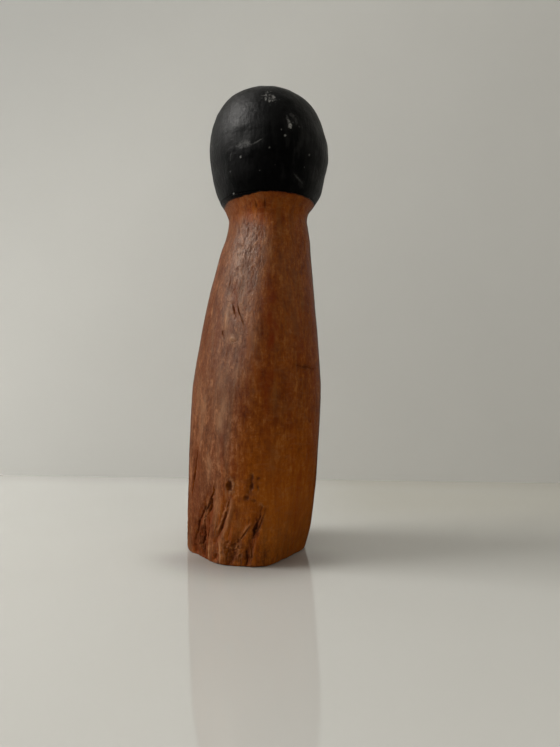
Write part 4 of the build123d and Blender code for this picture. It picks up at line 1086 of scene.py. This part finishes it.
WALL_Y, WALL_TURN = 0.2265, math.radians(-4.3)
along_wall = Vector((math.cos(WALL_TURN), math.sin(WALL_TURN), 0))
middle = Vector((0.02, WALL_Y, 0))
a, b = middle - 3 * along_wall, middle + 3 * along_wall
wall = sheet("wall", [a, b, b + Vector((0, 0, 2.6)), a + Vector((0, 0, 2.6))])
m, g, mm = material("plaster")
tint = g.noise(mm, 0.012, 4.0, 0.55)
colour = g.mix(tint, (0.60, 0.595, 0.565), (0.63, 0.625, 0.595))
# painted shade: the wall darkens toward its top left
painted_wall_shade = g.vector("DOT_PRODUCT", mm, (-0.000707, 0.0, 0.000707), out=1)
colour = g.mix(g.remap(painted_wall_shade, 0.25, 0.60, 0.0, 0.34), colour, (0.0, 0.0, 0.0))
bump = g.add("ShaderNodeBump", Strength=0.25, Distance=0.0004, Height=g.noise(mm, 0.16, 4.0, 0.55))
plaster = g.add("ShaderNodeBsdfPrincipled", Base_Color=colour, Roughness=0.7, Normal=bump, Specular_IOR_Level=0.3)
seen_from = g.add("ShaderNodeNewGeometry", out=6)  # the wall is only there from its front
clear = g.add("ShaderNodeBsdfTransparent")
finish_material(g, g.add("ShaderNodeMixShader", seen_from, plaster, clear))
wall.data.materials.append(m)


def soft_light(name, place, target, width, height, power, colour, diffuse=True, glossy=True):
    data = bpy.data.lights.new(name, "AREA")
    data.shape, data.size, data.size_y = "ELLIPSE" if not diffuse else "RECTANGLE", width, height
    data.energy, data.color = power, colour
    obj = bpy.data.objects.new(name, data)
    bpy.context.scene.collection.objects.link(obj)
    obj.location = place
    obj.rotation_mode = "QUATERNION"
    obj.rotation_quaternion = (Vector(target) - Vector(place)).to_track_quat("-Z", "Y")
    obj.visible_camera = False
    obj.visible_diffuse, obj.visible_glossy = diffuse, glossy
    return obj


soft_light("window", (-1.66, 0.02, 0.82), (0.0, 0.0, 0.14), 0.95, 1.15, 42.0, (1.0, 1.0, 0.985), glossy=False)
soft_light("low_window", (-1.70, -0.30, 0.36), (0.0, 0.2, 0.10), 1.2, 0.6, 8.5, (1.0, 1.0, 0.985), glossy=False)
soft_light("window_sheen", (-1.16, -0.42, 1.36), (0.0, 0.0, 0.20), 0.74, 1.00, 22.0, (1.0, 0.975, 0.94), diffuse=False)
soft_light("fill", (1.3, -1.1, 0.9), (0.0, 0.0, 0.14), 1.4, 1.4, 3.0, (1.0, 0.95, 0.88), glossy=False)

world = bpy.data.worlds.new("studio")
bpy.context.scene.world = world
world.use_nodes = True
g = Graph(world.node_tree)
path = g.tree.nodes.new("ShaderNodeLightPath")
ray = g.add("ShaderNodeTexCoord", out=0)
leftness = g.vector("DOT_PRODUCT", ray, (-0.50, 0.22, 0.84), out=1)
shine = g.mix(g.remap(leftness, 0.12, 0.98), (0.018, 0.017, 0.016), (0.175, 0.172, 0.160))
above = g.vector("DOT_PRODUCT", ray, (-0.45, 0.10, 0.89), out=1)
soft = g.mix(g.remap(above, -0.1, 1.0), (0.18, 0.172, 0.155), (0.57, 0.55, 0.51))
light = g.mix(path.outputs["Is Glossy Ray"], soft, shine)
light = g.mix(path.outputs["Is Camera Ray"], light, (0.44, 0.43, 0.40))
back = g.add("ShaderNodeBackground", light, 1.0)
out = g.tree.nodes.new("ShaderNodeOutputWorld")
g.tree.links.new(back, out.inputs[0])

data = bpy.data.cameras.new("camera")
data.sensor_width, data.sensor_fit, data.lens = 36.0, "AUTO", 27.04
data.clip_start, data.clip_end = 0.01, 20.0
camera = bpy.data.objects.new("camera", data)
bpy.context.scene.collection.objects.link(camera)
camera.location = (0.02083, -0.348, 0.10794)
camera.rotation_euler = (math.pi / 2, 0, 0)
bpy.context.scene.camera = camera

scene = bpy.context.scene
scene.view_settings.view_transform = "Standard"
scene.view_settings.look = "None"
scene.view_settings.exposure = 0.0
scene.view_settings.gamma = 1.0
